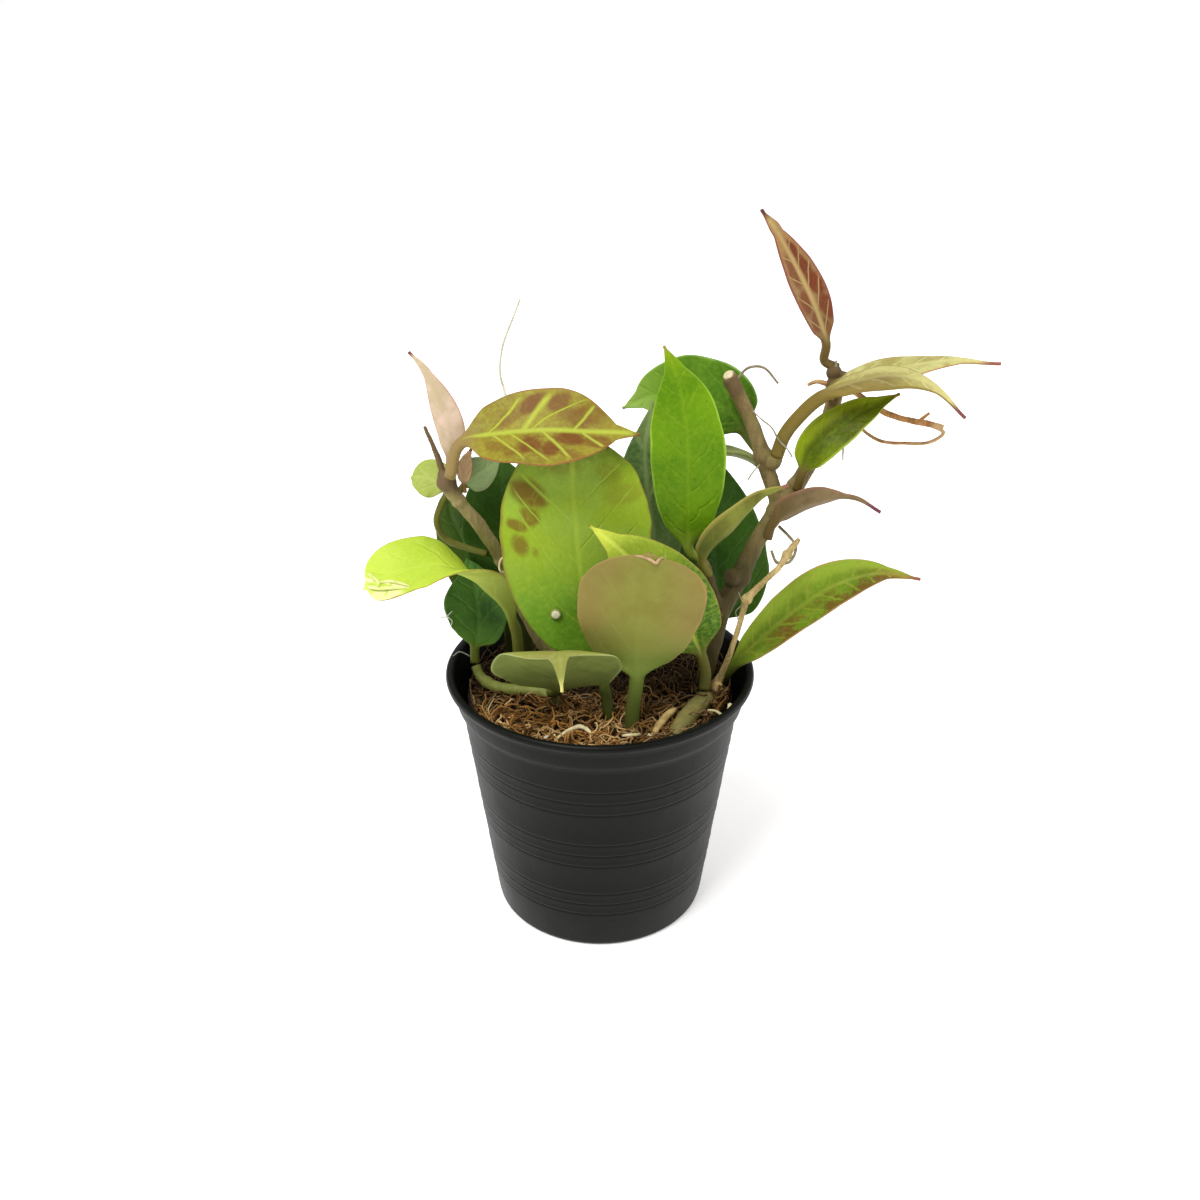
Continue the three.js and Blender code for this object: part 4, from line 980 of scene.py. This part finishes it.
leaves = dict(
    leafTopRight=dict(
        slot="leaf_reddish", seed=1,
        stalk=[(62.7, 21.3, 152.35), (59.2, 20.8, 154.2)],
        rib=[(58.9, 18.7, 159.3), (55.3, 17, 168.5), (49.7, 16, 179), (44.5, 14, 187.5), (39.5, 12, 194.5)],
        face=[(0.2, -0.9, 0.3)],
        width=9.3, radius=1.2, fold=0.25, fullest=0.4, dripTip=0.12, taper=1.15, topTone="956742",
        deepTone="856d46", towardToneAndShade="997746", towardFrom=0.5, tipTone="5a3428", marginTone="7c3a38",
        marginWidth=0.12, underTone="9a7048", stalkTone="6e5a30", veinTone="ad9660", veinShare=0.85,
        veinPitch=3.9, veinSlope=1.25, netShare=0.06, patchTone="6a2f1a", patchShare=0.95,
        veins=[(-1, 4, 1.6, 0, 0.3), (-1, 10, 1.6, 0, 0.3), (-1, 17, 1.6, 0, 0.3), (-1, 24, 1.6, 0, 0.3),
               (1, 3, 2.2, 0, 0.35), (1, 9.5, 2.2, 0, 0.4), (1, 15.5, 2.2, 0, 0.4), (1, 21.5, 2.2, 0, 0.35),
               (1, 27, 2.2, 0, 0.3)],
        patches=[(1.2, 28, 4, 1, 94, 1), (1.8, 22.5, 4, 1.4, 96, 1), (2.4, 16.8, 4.2, 1.8, 97, 1),
                 (2.9, 10.5, 4.4, 1.8, 97, 0.95), (-1.8, 22.5, 5.1, 1.2, 88, 0.75),
                 (-2.2, 13.8, 3.7, 1.6, 86, 0.85), (-1.6, 7.4, 3.3, 1.4, 85, 0.8),
                 (1.2, 5, 2.9, 1.2, 92, 0.7)],
    ),
    leafArchingFront=dict(
        slot="leaf_pale_yellow", seed=2,
        stalk=[(46.85, 11.85, 131), (48.6, 11.5, 137), (52.3, 11.2, 142.5)],
        rib=[(57, 10.5, 147.4), (66.5, 9, 152.2), (76.5, 8, 153.7), (85.5, 7, 151.2), (94, 6, 143.6)],
        face=[(0, -0.3, 0.95)],
        # nearShadeTone is the painted shade on the near half, which is turned down away from the light
        width=10.6, radius=1.8, fold=0.04, cup=-0.05, dripTip=0.2, taper=1, topTone="bdb677",
        deepTone="a7a25e", towardToneAndShade="c9b978", baseToneAndShade="978d4c", nearShadeTone="6e5c2c", tipTone="7c4a44",
        tipFrom=0.86, marginTone="7c6a30", marginWidth=0.14, underTone="7c6c30", stalkTone="73632c",
        veinTone="d0cc85", veinShare=0.2, veinPitch=6.5, veinSlope=1.0, veinBend=0.05, patchTone="8d7c3c",
        patchShare=0.45,
    ),
    leafArchingBack=dict(
        slot="leaf_pale_yellow", seed=3,
        stalk=[(60.3, 16.4, 145.8)],
        rib=[(62, 15.5, 149.2), (71, 19.6, 150.6), (82.5, 21.2, 152.6), (93.5, 18.4, 154.9),
             (104.2, 15.5, 155.2)],
        face=[(0, -0.35, 0.93)],
        width=10.4, fold=0.04, cup=-0.05, dripTip=0.25, shoulder=0.9, taper=1, topTone="b8b475",
        deepTone="9e9a56", towardToneAndShade="c8ba78", tipTone="8f5648", tipFrom=0.86, marginTone="a8764e",
        marginWidth=0.08, underTone="8c8040", stalkTone="73632c", veinTone="cfcd89", veinShare=0.25,
        veinPitch=6.5, veinSlope=1.0, veinBend=0.05, patchTone="8c7c3e", patchShare=0.6,
    ),
    leafHangingRight=dict(
        slot="leaf_green", seed=4,
        stalk=[(52.5, 9.05, 122.5)],
        rib=[(53.5, 9, 127), (56.5, 9.5, 133.8), (63.5, 10.5, 140.2), (71.2, 11.5, 144.8), (78, 12.5, 147.9)],
        face=[(-0.2, -0.75, 0.6)],
        width=11.3, radius=1.3, topTone="5f720b", deepTone="415206", towardToneAndShade="6b750b", towardFrom=0.5,
        sideTone="839514", tipTone="7a6a24", tipFrom=0.88, marginTone="98a838", underTone="7c7c30",
        stalkTone="5f4e24", veinTone="768914", veinShare=0.06, veinPitch=6.5, veinBend=0.04, netShare=0.2,
        patchTone="5e4a14", patchShare=0.2,
    ),
    leafSmallMauve=dict(
        slot="leaf_mauve", seed=5,
        stalk=[(45, 5.9, 109.8)],
        rib=[(46.2, 5.8, 114.3), (51.5, 6.2, 118.2), (60, 5.5, 121.6), (67.5, 4, 122.2), (74, 3, 118.7)],
        face=[(0, 0.8, 0.6)],
        width=11.4, radius=1.3, fullest=0.4, dripTip=0.5, shoulder=0.5, taper=1, topTone="807a3c",
        deepTone="6c642e", towardToneAndShade="8f6c58", towardFrom=0.5, tipTone="6c3c48", tipFrom=0.82,
        marginTone="8c5c50", marginWidth=0.12, underTone="857050", underDeepTone="6c5a3c",
        underBaseTone="62522e", stalkTone="5f4e2a", veinTone="948c50", veinShare=0.15, veinPitch=6,
        veinSlope=1.0,
    ),
    leafBrightUpright=dict(
        slot="leaf_bright", seed=6,
        stalk=[(26.9, -1.15, 106.9)],
        rib=[(23.6, -2, 109.6), (22.8, -2, 122), (22.4, -1, 137), (20.8, 1, 149.5), (18.6, 4, 157),
             (16, 6, 162.5)],
        face=[(-0.05, -0.95, 0.3)],
        width=19.4, radius=1.3, fullest=0.44, dripTip=0.2, shoulder=0.7, taper=1, rings=80, around=48,
        topTone="628a09", deepTone="4e7706", towardToneAndShade="7d9417", towardFrom=0.72, tipTone="96784a",
        tipFrom=0.93, marginTone="90b03c", marginWidth=0.045, underTone="809640", stalkTone="7c8a30",
        veinTone="819e1d", veinShare=0.22, veinPitch=7.5, veinSlope=0.95, veinBend=0.03, veinWidth=0.35,
        speckShare=0.8,
    ),
    leafNarrowFolded=dict(
        slot="leaf_pale_yellow", seed=7,
        stalk=[(28.6, -3.55, 103.6)],
        rib=[(26.5, -6.3, 109), (29.5, -8, 115.4), (35.5, -7, 121.3), (41.7, -3.5, 125.8), (48.6, 1, 127.2)],
        face=[(-0.5, 0.75, 0.45)],
        width=10.8, radius=1.2, dripTip=0.2, taper=1, topTone="6e7e20", deepTone="6b771d",
        towardToneAndShade="a49a50", tipTone="8a5e4a", tipFrom=0.88, marginTone="a89850", marginWidth=0.16,
        underTone="787c2f", underDeepTone="5d5e1d", underBaseTone="4f5717", stalkTone="6c6826",
        veinTone="98a044", veinShare=0.15, veinPitch=6, veinSlope=1.0,
    ),
    leafLowerRight=dict(
        slot="leaf_green", seed=8,
        stalk=[(33.8, 1, 61), (34, 0, 68)],
        rib=[(35.8, -1.4, 73.2), (44.5, -2, 83.5), (54, -2, 93), (64, -3.5, 100.9), (74, -5, 104.5),
             (84, -7, 103.8)],
        face=[(-0.35, -0.65, 0.6)],
        width=13.5, fold=0.2, fullest=0.55, dripTip=0.18, taper=0.95, rings=80, around=48, topTone="64801c",
        deepTone="4e6812", towardToneAndShade="8a7434", towardFrom=0.62, sideTone="869e2e", tipTone="8a5644",
        marginTone="a8845a", marginWidth=0.05, underTone="8a7a44", stalkTone="5f7020", veinTone="989c39",
        veinShare=0.28, veinPitch=6.5, veinBend=0.05, patchTone="66481c", patchCut=0.4, patchSide=1,
        patchTo=0.95,
    ),
    leafRoundBack=dict(
        slot="leaf_green", seed=9,
        stalk=[(42.8, 17.1, 130.5)],
        rib=[(39.5, 21, 134), (33.5, 22, 141), (24, 23, 144), (14.5, 22, 144.5), (6, 20, 141.5)],
        face=[(0, -0.85, 0.5)],
        width=22, fullest=0.45, taper=0.7, rings=70, around=44, topTone="648b20", deepTone="477114",
        # the dark baseToneAndShade here is painted shade, where the bright upright leaf and the cut branch
        # shade this leaf
        towardToneAndShade="87a24a", baseToneAndShade="385c0e", tipTone="6c8050", tipFrom=0.95, marginTone="90b060",
        marginWidth=0.05, underTone="728c4c", stalkTone="566224", veinTone="7c9e32", veinShare=0.18,
        veinBend=0.03,
    ),
    leafPaleBack=dict(
        slot="leaf_pale_yellow", seed=10,
        stalk=[(46, 16.1, 122)],
        rib=[(43.5, 19, 125.6), (38, 19.4, 128.2), (32.5, 19.2, 129.2), (25, 18.2, 129.4)],
        face=[(0, 0.2, 1)],
        width=11, radius=1, topTone="8a9452", deepTone="7a8644", tipTone="7a6a40", tipFrom=0.93,
        marginTone="989c58", underTone="8a9450", stalkTone="5f602c", veinTone="9ca668", veinPitch=6,
        veinSlope=1.0,
    ),
    leafDarkBack=dict(
        slot="leaf_dark", seed=11,
        stalk=[(28, 14, 61), (30, 15, 69)],
        rib=[(32, 16.4, 78), (33.5, 18.6, 88), (31.5, 20.8, 105), (29, 22.8, 121), (27, 24.8, 135.5)],
        face=[(0, -0.95, 0.2)],
        width=29, rings=70, around=48, topTone="42681f", deepTone="2c4c16", towardToneAndShade="446424",
        towardFrom=0.7, tipTone="5f6024", tipFrom=0.96, marginTone="50722e", marginWidth=0.04,
        underTone="50683a", stalkTone="44521c", veinTone="54783a", veinShare=0.22, veinPitch=7.5,
        veinBend=0.03,
    ),
    leafBlueGreen=dict(
        slot="leaf_blue_green", seed=12,
        stalk=[(14, 12, 61), (15, 12, 72)],
        rib=[(17, 13, 87.5), (15, 13, 106), (12.5, 13, 123.5), (12, 14, 134.5), (14, 15, 145)],
        face=[(0, -0.95, 0.2)],
        width=16, topTone="58723e", deepTone="445f2f", towardToneAndShade="7e9158", towardFrom=0.65, tipTone="7c7c4a",
        tipFrom=0.95, marginTone="6e8a58", marginWidth=0.06, underTone="647a50", stalkTone="4c5a24",
        veinTone="8d9d65", veinShare=0.5, veinPitch=30, veinSlope=1.3, veinWidth=1.0,
    ),
    leafFlatTopLeft=dict(
        slot="leaf_olive_gold", seed=13,
        stalk=[(-38.1, -4.8, 131.5)],
        rib=[(-35, -5.4, 140.6), (-23, -7, 143.9), (-11, -8.6, 145.1), (0, -9.2, 144.9), (10, -9, 144.4)],
        face=[(0, -0.64, 0.77)],
        width=22.2, fullest=0.52, dripTip=0.2, shoulder=0.55, taper=0.75, rings=84, around=56,
        topTone="887a27", deepTone="786824", towardToneAndShade="867a2d", towardFrom=0.75, tipTone="4e2c22",
        tipFrom=0.94, marginTone="8a5030", marginWidth=0.035, underTone="989058", stalkTone="8c7648",
        veinTone="aab63f", veinShare=0.8, veinPitch=6.8, veinSlope=0.72, netShare=0.06, patchTone="6a3a1a",
        speckShare=0.12, speckTone="c8ce7c",
        veins=[(-1, 7.5, 1.3, -0.04, 0.5), (-1, 16.6, 0.68, 0, 0.9), (-1, 18.8, 0.7, 0.12, 0.45),
               (1, 9, 1, 0, 0.45), (1, 13, 1.2, 0, 0.4), (1, 21.5, 0.9, 0, 0.5), (1, 31, 1.2, 0, 0.6),
               (-1, 29, 0.8, 0, 0.5)],
        patches=[(-7.2, 19.2, 4.4, 2.1, 126, 1), (-3.5, 13.2, 3.9, 1.6, 120, 0.6),
                 (-7.4, 25.4, 3.3, 2.1, 120, 0.9), (-4.2, 32.6, 5.1, 2.9, 105, 0.7),
                 (-4.2, 27.2, 2.5, 1.4, 110, 0.5), (4.1, 10, 2.8, 1.7, 65, 0.55), (6, 14, 2.6, 1.6, 65, 0.6),
                 (4.6, 18.9, 3.8, 2.9, 60, 1), (5.9, 24.3, 2.6, 2.3, 60, 1), (2.6, 28.6, 4.6, 1.8, 80, 1),
                 (3.4, 35.8, 4.1, 2, 80, 0.8), (7.6, 29.8, 3.9, 1.6, 72, 0.55)],
    ),
    leafPinkUpright=dict(
        slot="leaf_pink_tan", seed=14,
        stalk=[(-38.9, 0.95, 130.6)],
        rib=[(-38.6, 1.4, 133.2), (-38.2, 1.6, 141.5), (-40.6, 2, 150), (-44, 2.5, 157.5), (-47.6, 3, 161.8)],
        face=[(0.1, 0.95, -0.15)],
        width=7.8, radius=1.1, fullest=0.35, dripTip=0.25, taper=1.4, topTone="849044", deepTone="74803a",
        towardToneAndShade="b08c74", tipTone="6e4444", marginTone="a86c5c", underTone="d5bba6",
        underDeepTone="bea98c", stalkTone="85703c", veinTone="9ca05c", veinSlope=1.1,
    ),
    leafSmallLime=dict(
        slot="leaf_lime", seed=15,
        stalk=[(-30.2, 3, 106.5), (-35.5, 5.5, 107), (-41.5, 6, 109.5), (-43.5, 5, 115), (-42, 5.5, 120)],
        rib=[(-40.5, 5.5, 123.3), (-42.5, 6.3, 125.2), (-46, 7, 126.6), (-50, 8, 126.4)],
        face=[(0, -0.7, 0.7)],
        width=11, radius=0.9, fullest=0.5, dripTip=0.05, taper=0.45, topTone="a2ae53", deepTone="91a244",
        tipTone="8a8a48", tipFrom=0.97, marginTone="90984a", marginWidth=0.06, underTone="9aa85c",
        stalkTone="63642a", veinTone="b7c171", veinPitch=5, veinSlope=1.0,
    ),
    leafSmallGrey=dict(
        slot="leaf_sage", seed=16,
        stalk=[(-37.5, 1.25, 123.5)],
        rib=[(-36, 5, 125), (-33, 6.5, 127), (-29.5, 8, 129), (-25.5, 9, 132)],
        face=[(0, -0.7, 0.7)],
        width=10, radius=0.9, taper=0.7, topTone="80945f", deepTone="6c804e", tipTone="808058", tipFrom=0.97,
        marginTone="8c9a6c", marginWidth=0.06, underTone="78885c", stalkTone="63642c", veinTone="90a070",
        veinPitch=5, veinSlope=1.0,
    ),
    leafDryScale=dict(
        slot="dry_tan", seed=17,
        stalk=[(-34.8, -1.5, 126)],
        rib=[(-35, -1.3, 128), (-34.8, -1, 131.5), (-34, -0.8, 135), (-32.8, -0.8, 137.5)],
        face=[(0.2, -0.9, 0.3)],
        width=4, radius=0.5, dripTip=0.1, topTone="c0a07c", deepTone="a8865c", tipTone="6a4a2c",
        marginTone="6c4c2a", underTone="b09070", stalkTone="7a5c34", veinTone="8e6c44", veinPitch=3,
        veinSlope=3, roughness=0.8,
    ),
    leafDarkLeftA=dict(
        slot="leaf_dark", seed=18,
        stalk=[(-20, 12, 61), (-20.3, 11.8, 70)],
        rib=[(-21, 11.5, 79), (-23, 11.5, 92), (-25, 12, 107), (-26.5, 13, 120), (-26.5, 14.5, 131)],
        face=[(0, -0.95, 0.2)],
        width=24, fullest=0.55, dripTip=0.08, taper=0.55, topTone="3c5e21", deepTone="294715",
        tipTone="4e5a24", tipFrom=0.96, marginTone="426828", marginWidth=0.05, underTone="486432",
        stalkTone="424f1e", veinTone="527330", veinShare=0.22, veinBend=0.03,
    ),
    leafDarkLeftB=dict(
        slot="leaf_dark", seed=19,
        stalk=[(-26, 17, 61), (-26, 17, 70)],
        rib=[(-27, 17, 80), (-32, 17, 91), (-37, 17, 102), (-41, 17, 112), (-41, 17, 121)],
        face=[(0, -0.95, 0.2)],
        width=17, topTone="4a6424", deepTone="384f18", tipTone="54542a", tipFrom=0.96, marginTone="5c5c28",
        marginWidth=0.05, underTone="526838", stalkTone="424f1e", veinTone="5c7834", veinShare=0.22,
        veinBend=0.03,
    ),
    leafLargeCentre=dict(
        slot="leaf_green", seed=20,
        stalk=[(2.5, -20, 60), (2.3, -20, 69), (1.5, -17, 75.5)],
        rib=[(0, -14, 81.5), (-3, -13, 95), (-5.5, -11, 108.5), (-6.5, -8, 122.5), (-7, -5, 135),
             (-7, -3, 144)],
        face=[(0.1, -0.95, 0.25)],
        width=39, fold=0.06, cup=0.05, fullest=0.54, dripTip=0.06, taper=0.5, rings=90, around=64,
        # the dark towardToneAndShade here is a painted shadow, where the flat top left leaf shades this
        # leaf's upper end
        topTone="859e23", deepTone="85a038", towardToneAndShade="2c2e0c", towardFrom=0.7, baseToneAndShade="5f8c22",
        baseTo=0.5, tipTone="5c5a1c", tipFrom=0.96, marginTone="7c7028", marginWidth=0.03, underTone="808a40",
        stalkTone="4e5a1c", veinTone="9db33a", veinShare=0.45, veinPitch=8, veinSlope=0.62, netShare=0.12,
        patchTone="6c4a1c", speckShare=0.45, speckTone="b8c25c",
        veins=[(-1, 18.7, 1.75, 0, 0.45), (-1, 39.8, 1, 0, 0.5), (-1, 9.7, 1.5, 0, 0.35),
               (-1, 29, 1.35, 0, 0.35), (1, 20, 1.2, 0, 0.3), (1, 32, 1.1, 0, 0.3), (1, 43, 1, 0, 0.35)],
        patches=[(-11.3, 48.3, 5, 3, 140, 1), (-11.4, 42.9, 2.8, 2, 125, 0.95),
                 (-15.1, 40.9, 2.9, 1.3, 150, 0.9), (-14.7, 35.8, 2.9, 2.2, 125, 0.85),
                 (-10.8, 33.7, 1.5, 1, 125, 0.5), (12.8, 47, 3, 5, 100, 0.35), (9, 52, 4, 2.5, 140, 0.3),
                 (-3, 55, 5, 2.5, 170, 0.35)],
    ),
    leafRoundFront=dict(
        slot="leaf_taupe", seed=21,
        stalk=[(8.3, -24, 60), (8.5, -23, 73)],
        rib=[(9.5, -22.5, 82.5), (9.5, -22.5, 91), (10, -22, 100.5), (11.5, -21.5, 110.5),
             (12.5, -21.5, 118)],
        face=[(0, 0.95, -0.2)],
        width=32.5, radius=1.9, fold=0.04, cup=0.03, fullest=0.64, dripTip=0.06, taper=0.42, rings=84,
        around=60, topTone="748434", deepTone="62722a", towardToneAndShade="807438", tipTone="a8805c", tipFrom=0.965,
        marginTone="a88058", marginWidth=0.03, underTone="80803a", underDeepTone="7b7833",
        underSideTone="8a7244", underBaseTone="62702c", stalkTone="5a6828", veinTone="8a9644", veinShare=0.15,
        veinPitch=8, veinBend=0.02, netShare=0.1,
    ),
    leafLowFront=dict(
        slot="leaf_sage", seed=22,
        stalk=[(-13.1, -10.7, 71.5)],
        rib=[(-11, -15.5, 75.5), (-11, -19, 80), (-11, -24, 86.5), (-10.5, -30, 94.5), (-10, -33.5, 94),
             (-9.5, -34, 85.5)],
        face=[(0, 0.78, 0.62), (0, 0.78, 0.62), (0, 0.2, 1), (0, -0.98, 0.1)],
        width=33, fold=0.08, cup=-0.12, fullest=0.62, dripTip=0.45, taper=0.5, rings=80, around=60,
        topTone="8f9045", deepTone="848340", towardToneAndShade="a8ac5c", towardFrom=0.86, tipTone="d8cf78",
        marginTone="9aa468", marginWidth=0.035, underTone="768140", underDeepTone="667137",
        stalkTone="666c2a", veinTone="949f50", veinShare=0.25, veinPitch=8, veinSlope=1.0,
    ),
    leafBehindRound=dict(
        slot="leaf_green", seed=23,
        stalk=[(28.2, -10.4, 72.12), (28.6, -8.4, 76)],
        rib=[(27.5, -7, 80.5), (22, -11, 94), (13.5, -14.5, 107), (5, -16.5, 117), (-2.5, -17.5, 123.5)],
        face=[(0.1, -0.9, 0.3)],
        width=22, cup=0.05, dripTip=0.2, rings=76, around=48, topTone="a2bb3a", deepTone="7ea028",
        # the dark baseToneAndShade here is painted shade on the part of this leaf that lies in shadow behind
        # the round front leaf
        towardToneAndShade="bdc343", towardFrom=0.55, baseToneAndShade="3c6616", baseTo=0.62, tipTone="6c4c2a", tipFrom=0.96,
        marginTone="94883c", marginWidth=0.035, underTone="808c44", underBaseTone="508020",
        stalkTone="6c6a2c", veinTone="cddb58", veinShare=0.55, veinPitch=7.5, netShare=0.08,
        veins=[(-1, 8, 1.1, 0, 0.5), (-1, 17, 1.1, 0, 0.5), (-1, 26, 1, 0, 0.45), (1, 10, 1.1, 0, 0.5),
               (1, 19, 1.1, 0, 0.5), (1, 28, 1, 0, 0.45)],
    ),
    leafCurlingLime=dict(
        slot="leaf_lime", seed=24,
        stalk=[(-22, 0.5, 61), (-22.5, 0.5, 74)],
        rib=[(-23, -1.5, 86), (-26.5, -5, 96), (-33, -6.5, 103.5), (-42, -8.5, 107.8), (-52, -10, 107),
             (-61.5, -11, 103)],
        face=[(0.6, 0.8, 0), (0.5, 0.8, 0.3), (0.3, 0.65, 0.7), (0.1, 0.25, 1), (0, -0.3, 0.95),
              (-0.2, -0.45, 0.85), (-0.4, -0.6, 0.7)],
        width=21.5, fold=0.4, foldTip=0.1, cup=0.05, fullest=0.6, dripTip=0.04, shoulder=1.2, taper=0.3,
        rings=90, around=56, topTone="b4cc3c", deepTone="a0bc30", towardToneAndShade="b8ce48", tipTone="e0dc98",
        tipFrom=0.94, marginTone="9a7c34", marginWidth=0.025, underTone="b7c558", underDeepTone="9fac47",
        underBaseTone="828e39", stalkTone="6a6e2c", veinTone="c0d458", veinShare=0.18, veinPitch=9,
        veinBend=0.02, netShare=0.15, patchTone="efe9b8", speckShare=0.25, speckTone="5c6c18",
        patches=[(0.7, 49.2, 3, 0.5, 49, 1), (-4, 43.3, 4.6, 0.5, 51, 1), (-4.3, 45, 6.2, 0.5, 62, 1),
                 (-6.4, 46, 5.4, 2, 60, 0.75)],
    ),
    leafDarkLowerLeft=dict(
        slot="leaf_dark", seed=25,
        stalk=[(-34.6, -0.1, 74.8)],
        rib=[(-34.6, 1.2, 78.3), (-33.5, 2.5, 84), (-33.7, 3.8, 91.5), (-34.5, 4.6, 98.5), (-36, 5.3, 104)],
        face=[(0, -0.95, 0.3)],
        width=17.5, radius=1.3, fullest=0.55, dripTip=0.1, topTone="4a7424", deepTone="2c4e1a",
        towardToneAndShade="3c6224", towardFrom=0.5, baseToneAndShade="56802c", tipTone="505f24", tipFrom=0.97,
        marginTone="5c7c34", marginWidth=0.04, underTone="52703a", stalkTone="6a742a", veinTone="5f863a",
        veinShare=0.25, veinBend=0.03,
    ),
)


for name, look in leaves.items():
    leaf = {**leafDefaults, **look}
    dress(meshObject(name, *leafMesh(leaf)), leafMaterial(name + "Finish", leaf), leaf["slot"], nodeOf(name))
print("leaves are made")


# Small things: fine threads, pale rims on two leaves, a dried drop and the cut end of the side branch

threads = dict(
    creamThreads=dict(light="ddd2a8", dark="b4a474", paths=[
        [(-11.6, -31.4, 69.6, 0.45), (-9.5, -30, 70.6, 0.55), (-7.3, -28.1, 71, 0.6), (-5.2, -27.1, 71, 0.6),
         (-3.1, -28.6, 70.8, 0.5), (-0.8, -32.8, 69.4, 0.4)],
        [(-12.2, -26.7, 69.6, 0.3), (-11.9, -30, 70.4, 0.35), (-10.8, -31.4, 69.8, 0.35)],
        [(5.7, -29.2, 69.6, 0.4), (8.8, -30.2, 70.4, 0.5), (10.3, -29.2, 70, 0.35)],
        [(12.4, -29.7, 70.2, 0.5), (14.2, -30.4, 69.6, 0.3)],
        [(28.7, -18.4, 70.6, 0.3), (30.7, -19.9, 71.2, 0.4), (32.7, -21.2, 70.8, 0.4),
         (34.3, -18.4, 71.4, 0.5), (34.6, -17.6, 71.6, 0.7), (35, -16.6, 71.4, 0.3)],
        [(-24.4, -11, 112.6, 0.16), (-25.4, -11.2, 111.4, 0.22), (-25.9, -11.4, 109.8, 0.25),
         (-25.6, -11.4, 108.2, 0.22), (-24.6, -11, 107.8, 0.16)],
    ]),
    tanChips=dict(light="bca268", dark="8a7040", paths=[
        [(13.4, -29.5, 69.4, 0.7), (15.7, -25.7, 71, 1.1), (17.9, -21.8, 71.4, 1.1),
         (19.9, -18.3, 70.8, 0.7)],
        [(31.8, -6.5, 69.6, 1.6), (32, -7.4, 70.8, 1.9), (32.4, -8.2, 71.4, 1.5)],
    ]),
    greyThreads=dict(light="a39f86", dark="7c7860", paths=[
        [(39.6, 9, 144.4, 0.16), (42.1, 9, 142, 0.2), (44.8, 9, 139.8, 0.2), (46.8, 9, 136.5, 0.22),
         (49.4, 9, 133.7, 0.22), (50.6, 9, 131.8, 0.2)],
        [(38.7, 4, 127.3, 0.2), (39.9, 4, 129.5, 0.2), (41.6, 5, 131.2, 0.16)],
        [(65.7, 19, 133, 0.2), (65.8, 19, 130.5, 0.25), (66, 19, 127.2, 0.2)],
        [(36.6, -6, 99.5, 0.14), (37.6, -6.4, 96.2, 0.16), (36.2, -5.6, 93.4, 0.16),
         (37.2, -6.2, 90.6, 0.14)],
        [(62.2, 20, 151.5, 0.5), (62.1, 20, 154.6, 0.2)],
    ]),
    webWisps=dict(light="e6e6de", dark="c4c4ba", paths=[
        [(-43.5, 0, 88.7, 0.12), (-41.9, 0, 89, 0.16), (-40.2, 0.5, 90.5, 0.12)],
        [(-42.3, 0, 91.7, 0.12), (-41.6, 0, 89.3, 0.16), (-40.3, 0, 87.7, 0.14), (-41, 0, 85.6, 0.1)],
        [(-41, 3.3, 75, 0.12), (-39.3, 5.6, 75, 0.18), (-36, 6.6, 72.6, 0.16)],
    ]),
)
rims = dict(
    foldedEndRims=dict(slot="leaf_lime", light="dfe0a0", dark="c8cf78", paths=[
        [(-60.3, -8.8, 106.1, 0.25), (-59.2, -9.7, 105.9, 0.4), (-57.3, -11.7, 105.3, 0.45),
         (-57.2, -12.9, 104.6, 0.4), (-59.9, -12.2, 104, 0.35)],
        [(-57, -11.9, 105.2, 0.3), (-54.1, -12.9, 106, 0.45), (-51.2, -14.9, 106.5, 0.42),
         (-48.3, -17.2, 106.7, 0.25)],
        [(-59.9, -12.2, 104, 0.3), (-56.6, -14.3, 104.6, 0.4), (-52.4, -16.1, 105.7, 0.4),
         (-48.3, -17.6, 106.5, 0.25)],
    ]),
    notchRim=dict(slot="leaf_taupe", light="bc9c74", dark="94785a", paths=[
        [(8.6, -21.4, 117.3, 0.2), (10.8, -21.8, 117, 0.4), (12.6, -22.1, 116.4, 0.42),
         (13.9, -22.2, 115.6, 0.4), (14.6, -21.9, 116.4, 0.35), (15.6, -21.6, 116.9, 0.25)],
    ]),
)
beads = dict(     # round beads, pressed flat along the way they face, with a darker rim
    dryDrop=dict(slot="leaf_green", centre=(-11.4, -15.5, 97.9), radius=1.45, flatness=0.5, facing=(0, 1, 0),
                 tone="e6e2c0", rimTone="7c8040"),
    cutEnd=dict(slot="bark_brown", centre=(33.7, 16, 151.7), radius=1.75, flatness=0.45,
                facing=(-0.5, -0.4, 0.8), tone="d2c29c", rimTone="7e6440"),
)


def makeRim(name, rim):
    shade = Shader(name + "Finish")
    base = shade.mix(shade.noise(300, 3, 0.6).fade(0.35, 0.65), rim["light"], rim["dark"])
    piece = tubes(name, rim["paths"], around=12, perSpan=12, rough=0.1, seed=50)
    dress(piece, shade.finish(base, 0.5, specular=0.2), rim["slot"])


def makeBead(name, bead):
    centre, axis, radius = Vector(bead["centre"]), Vector(bead["facing"]).normalized(), bead["radius"]

    def pressed(vert):
        spot = vert * (1 + 0.06 * noise.noise(vert * 2.2))
        return (centre + (spot - axis * spot.dot(axis) * (1 - bead["flatness"])) * radius) * mm

    shade = Shader(name + "Finish")
    base = shade.mix(shade.noise(420, 3, 0.6).fade(0.45, 0.6) * 0.3, bead["tone"], bead["rimTone"])
    away = shade.span(shade.place(), centre * mm)
    base = shade.mix(away.fade(radius * 0.74 * mm, radius * 0.92 * mm), base, bead["rimTone"])
    dress(ballObject(name, 1, 4, pressed), shade.finish(base, 0.35, specular=0.4), bead["slot"])


for name, look in threads.items():
    finish = barkMaterial(name + "Finish", look["light"], look["dark"], look["light"])
    dress(tubes(name, look["paths"], around=8, perSpan=12, rough=0.35, seed=30), finish, "root_tan")
for name, rim in rims.items():
    makeRim(name, rim)
for name, bead in beads.items():
    makeBead(name, bead)
print("small things are made")
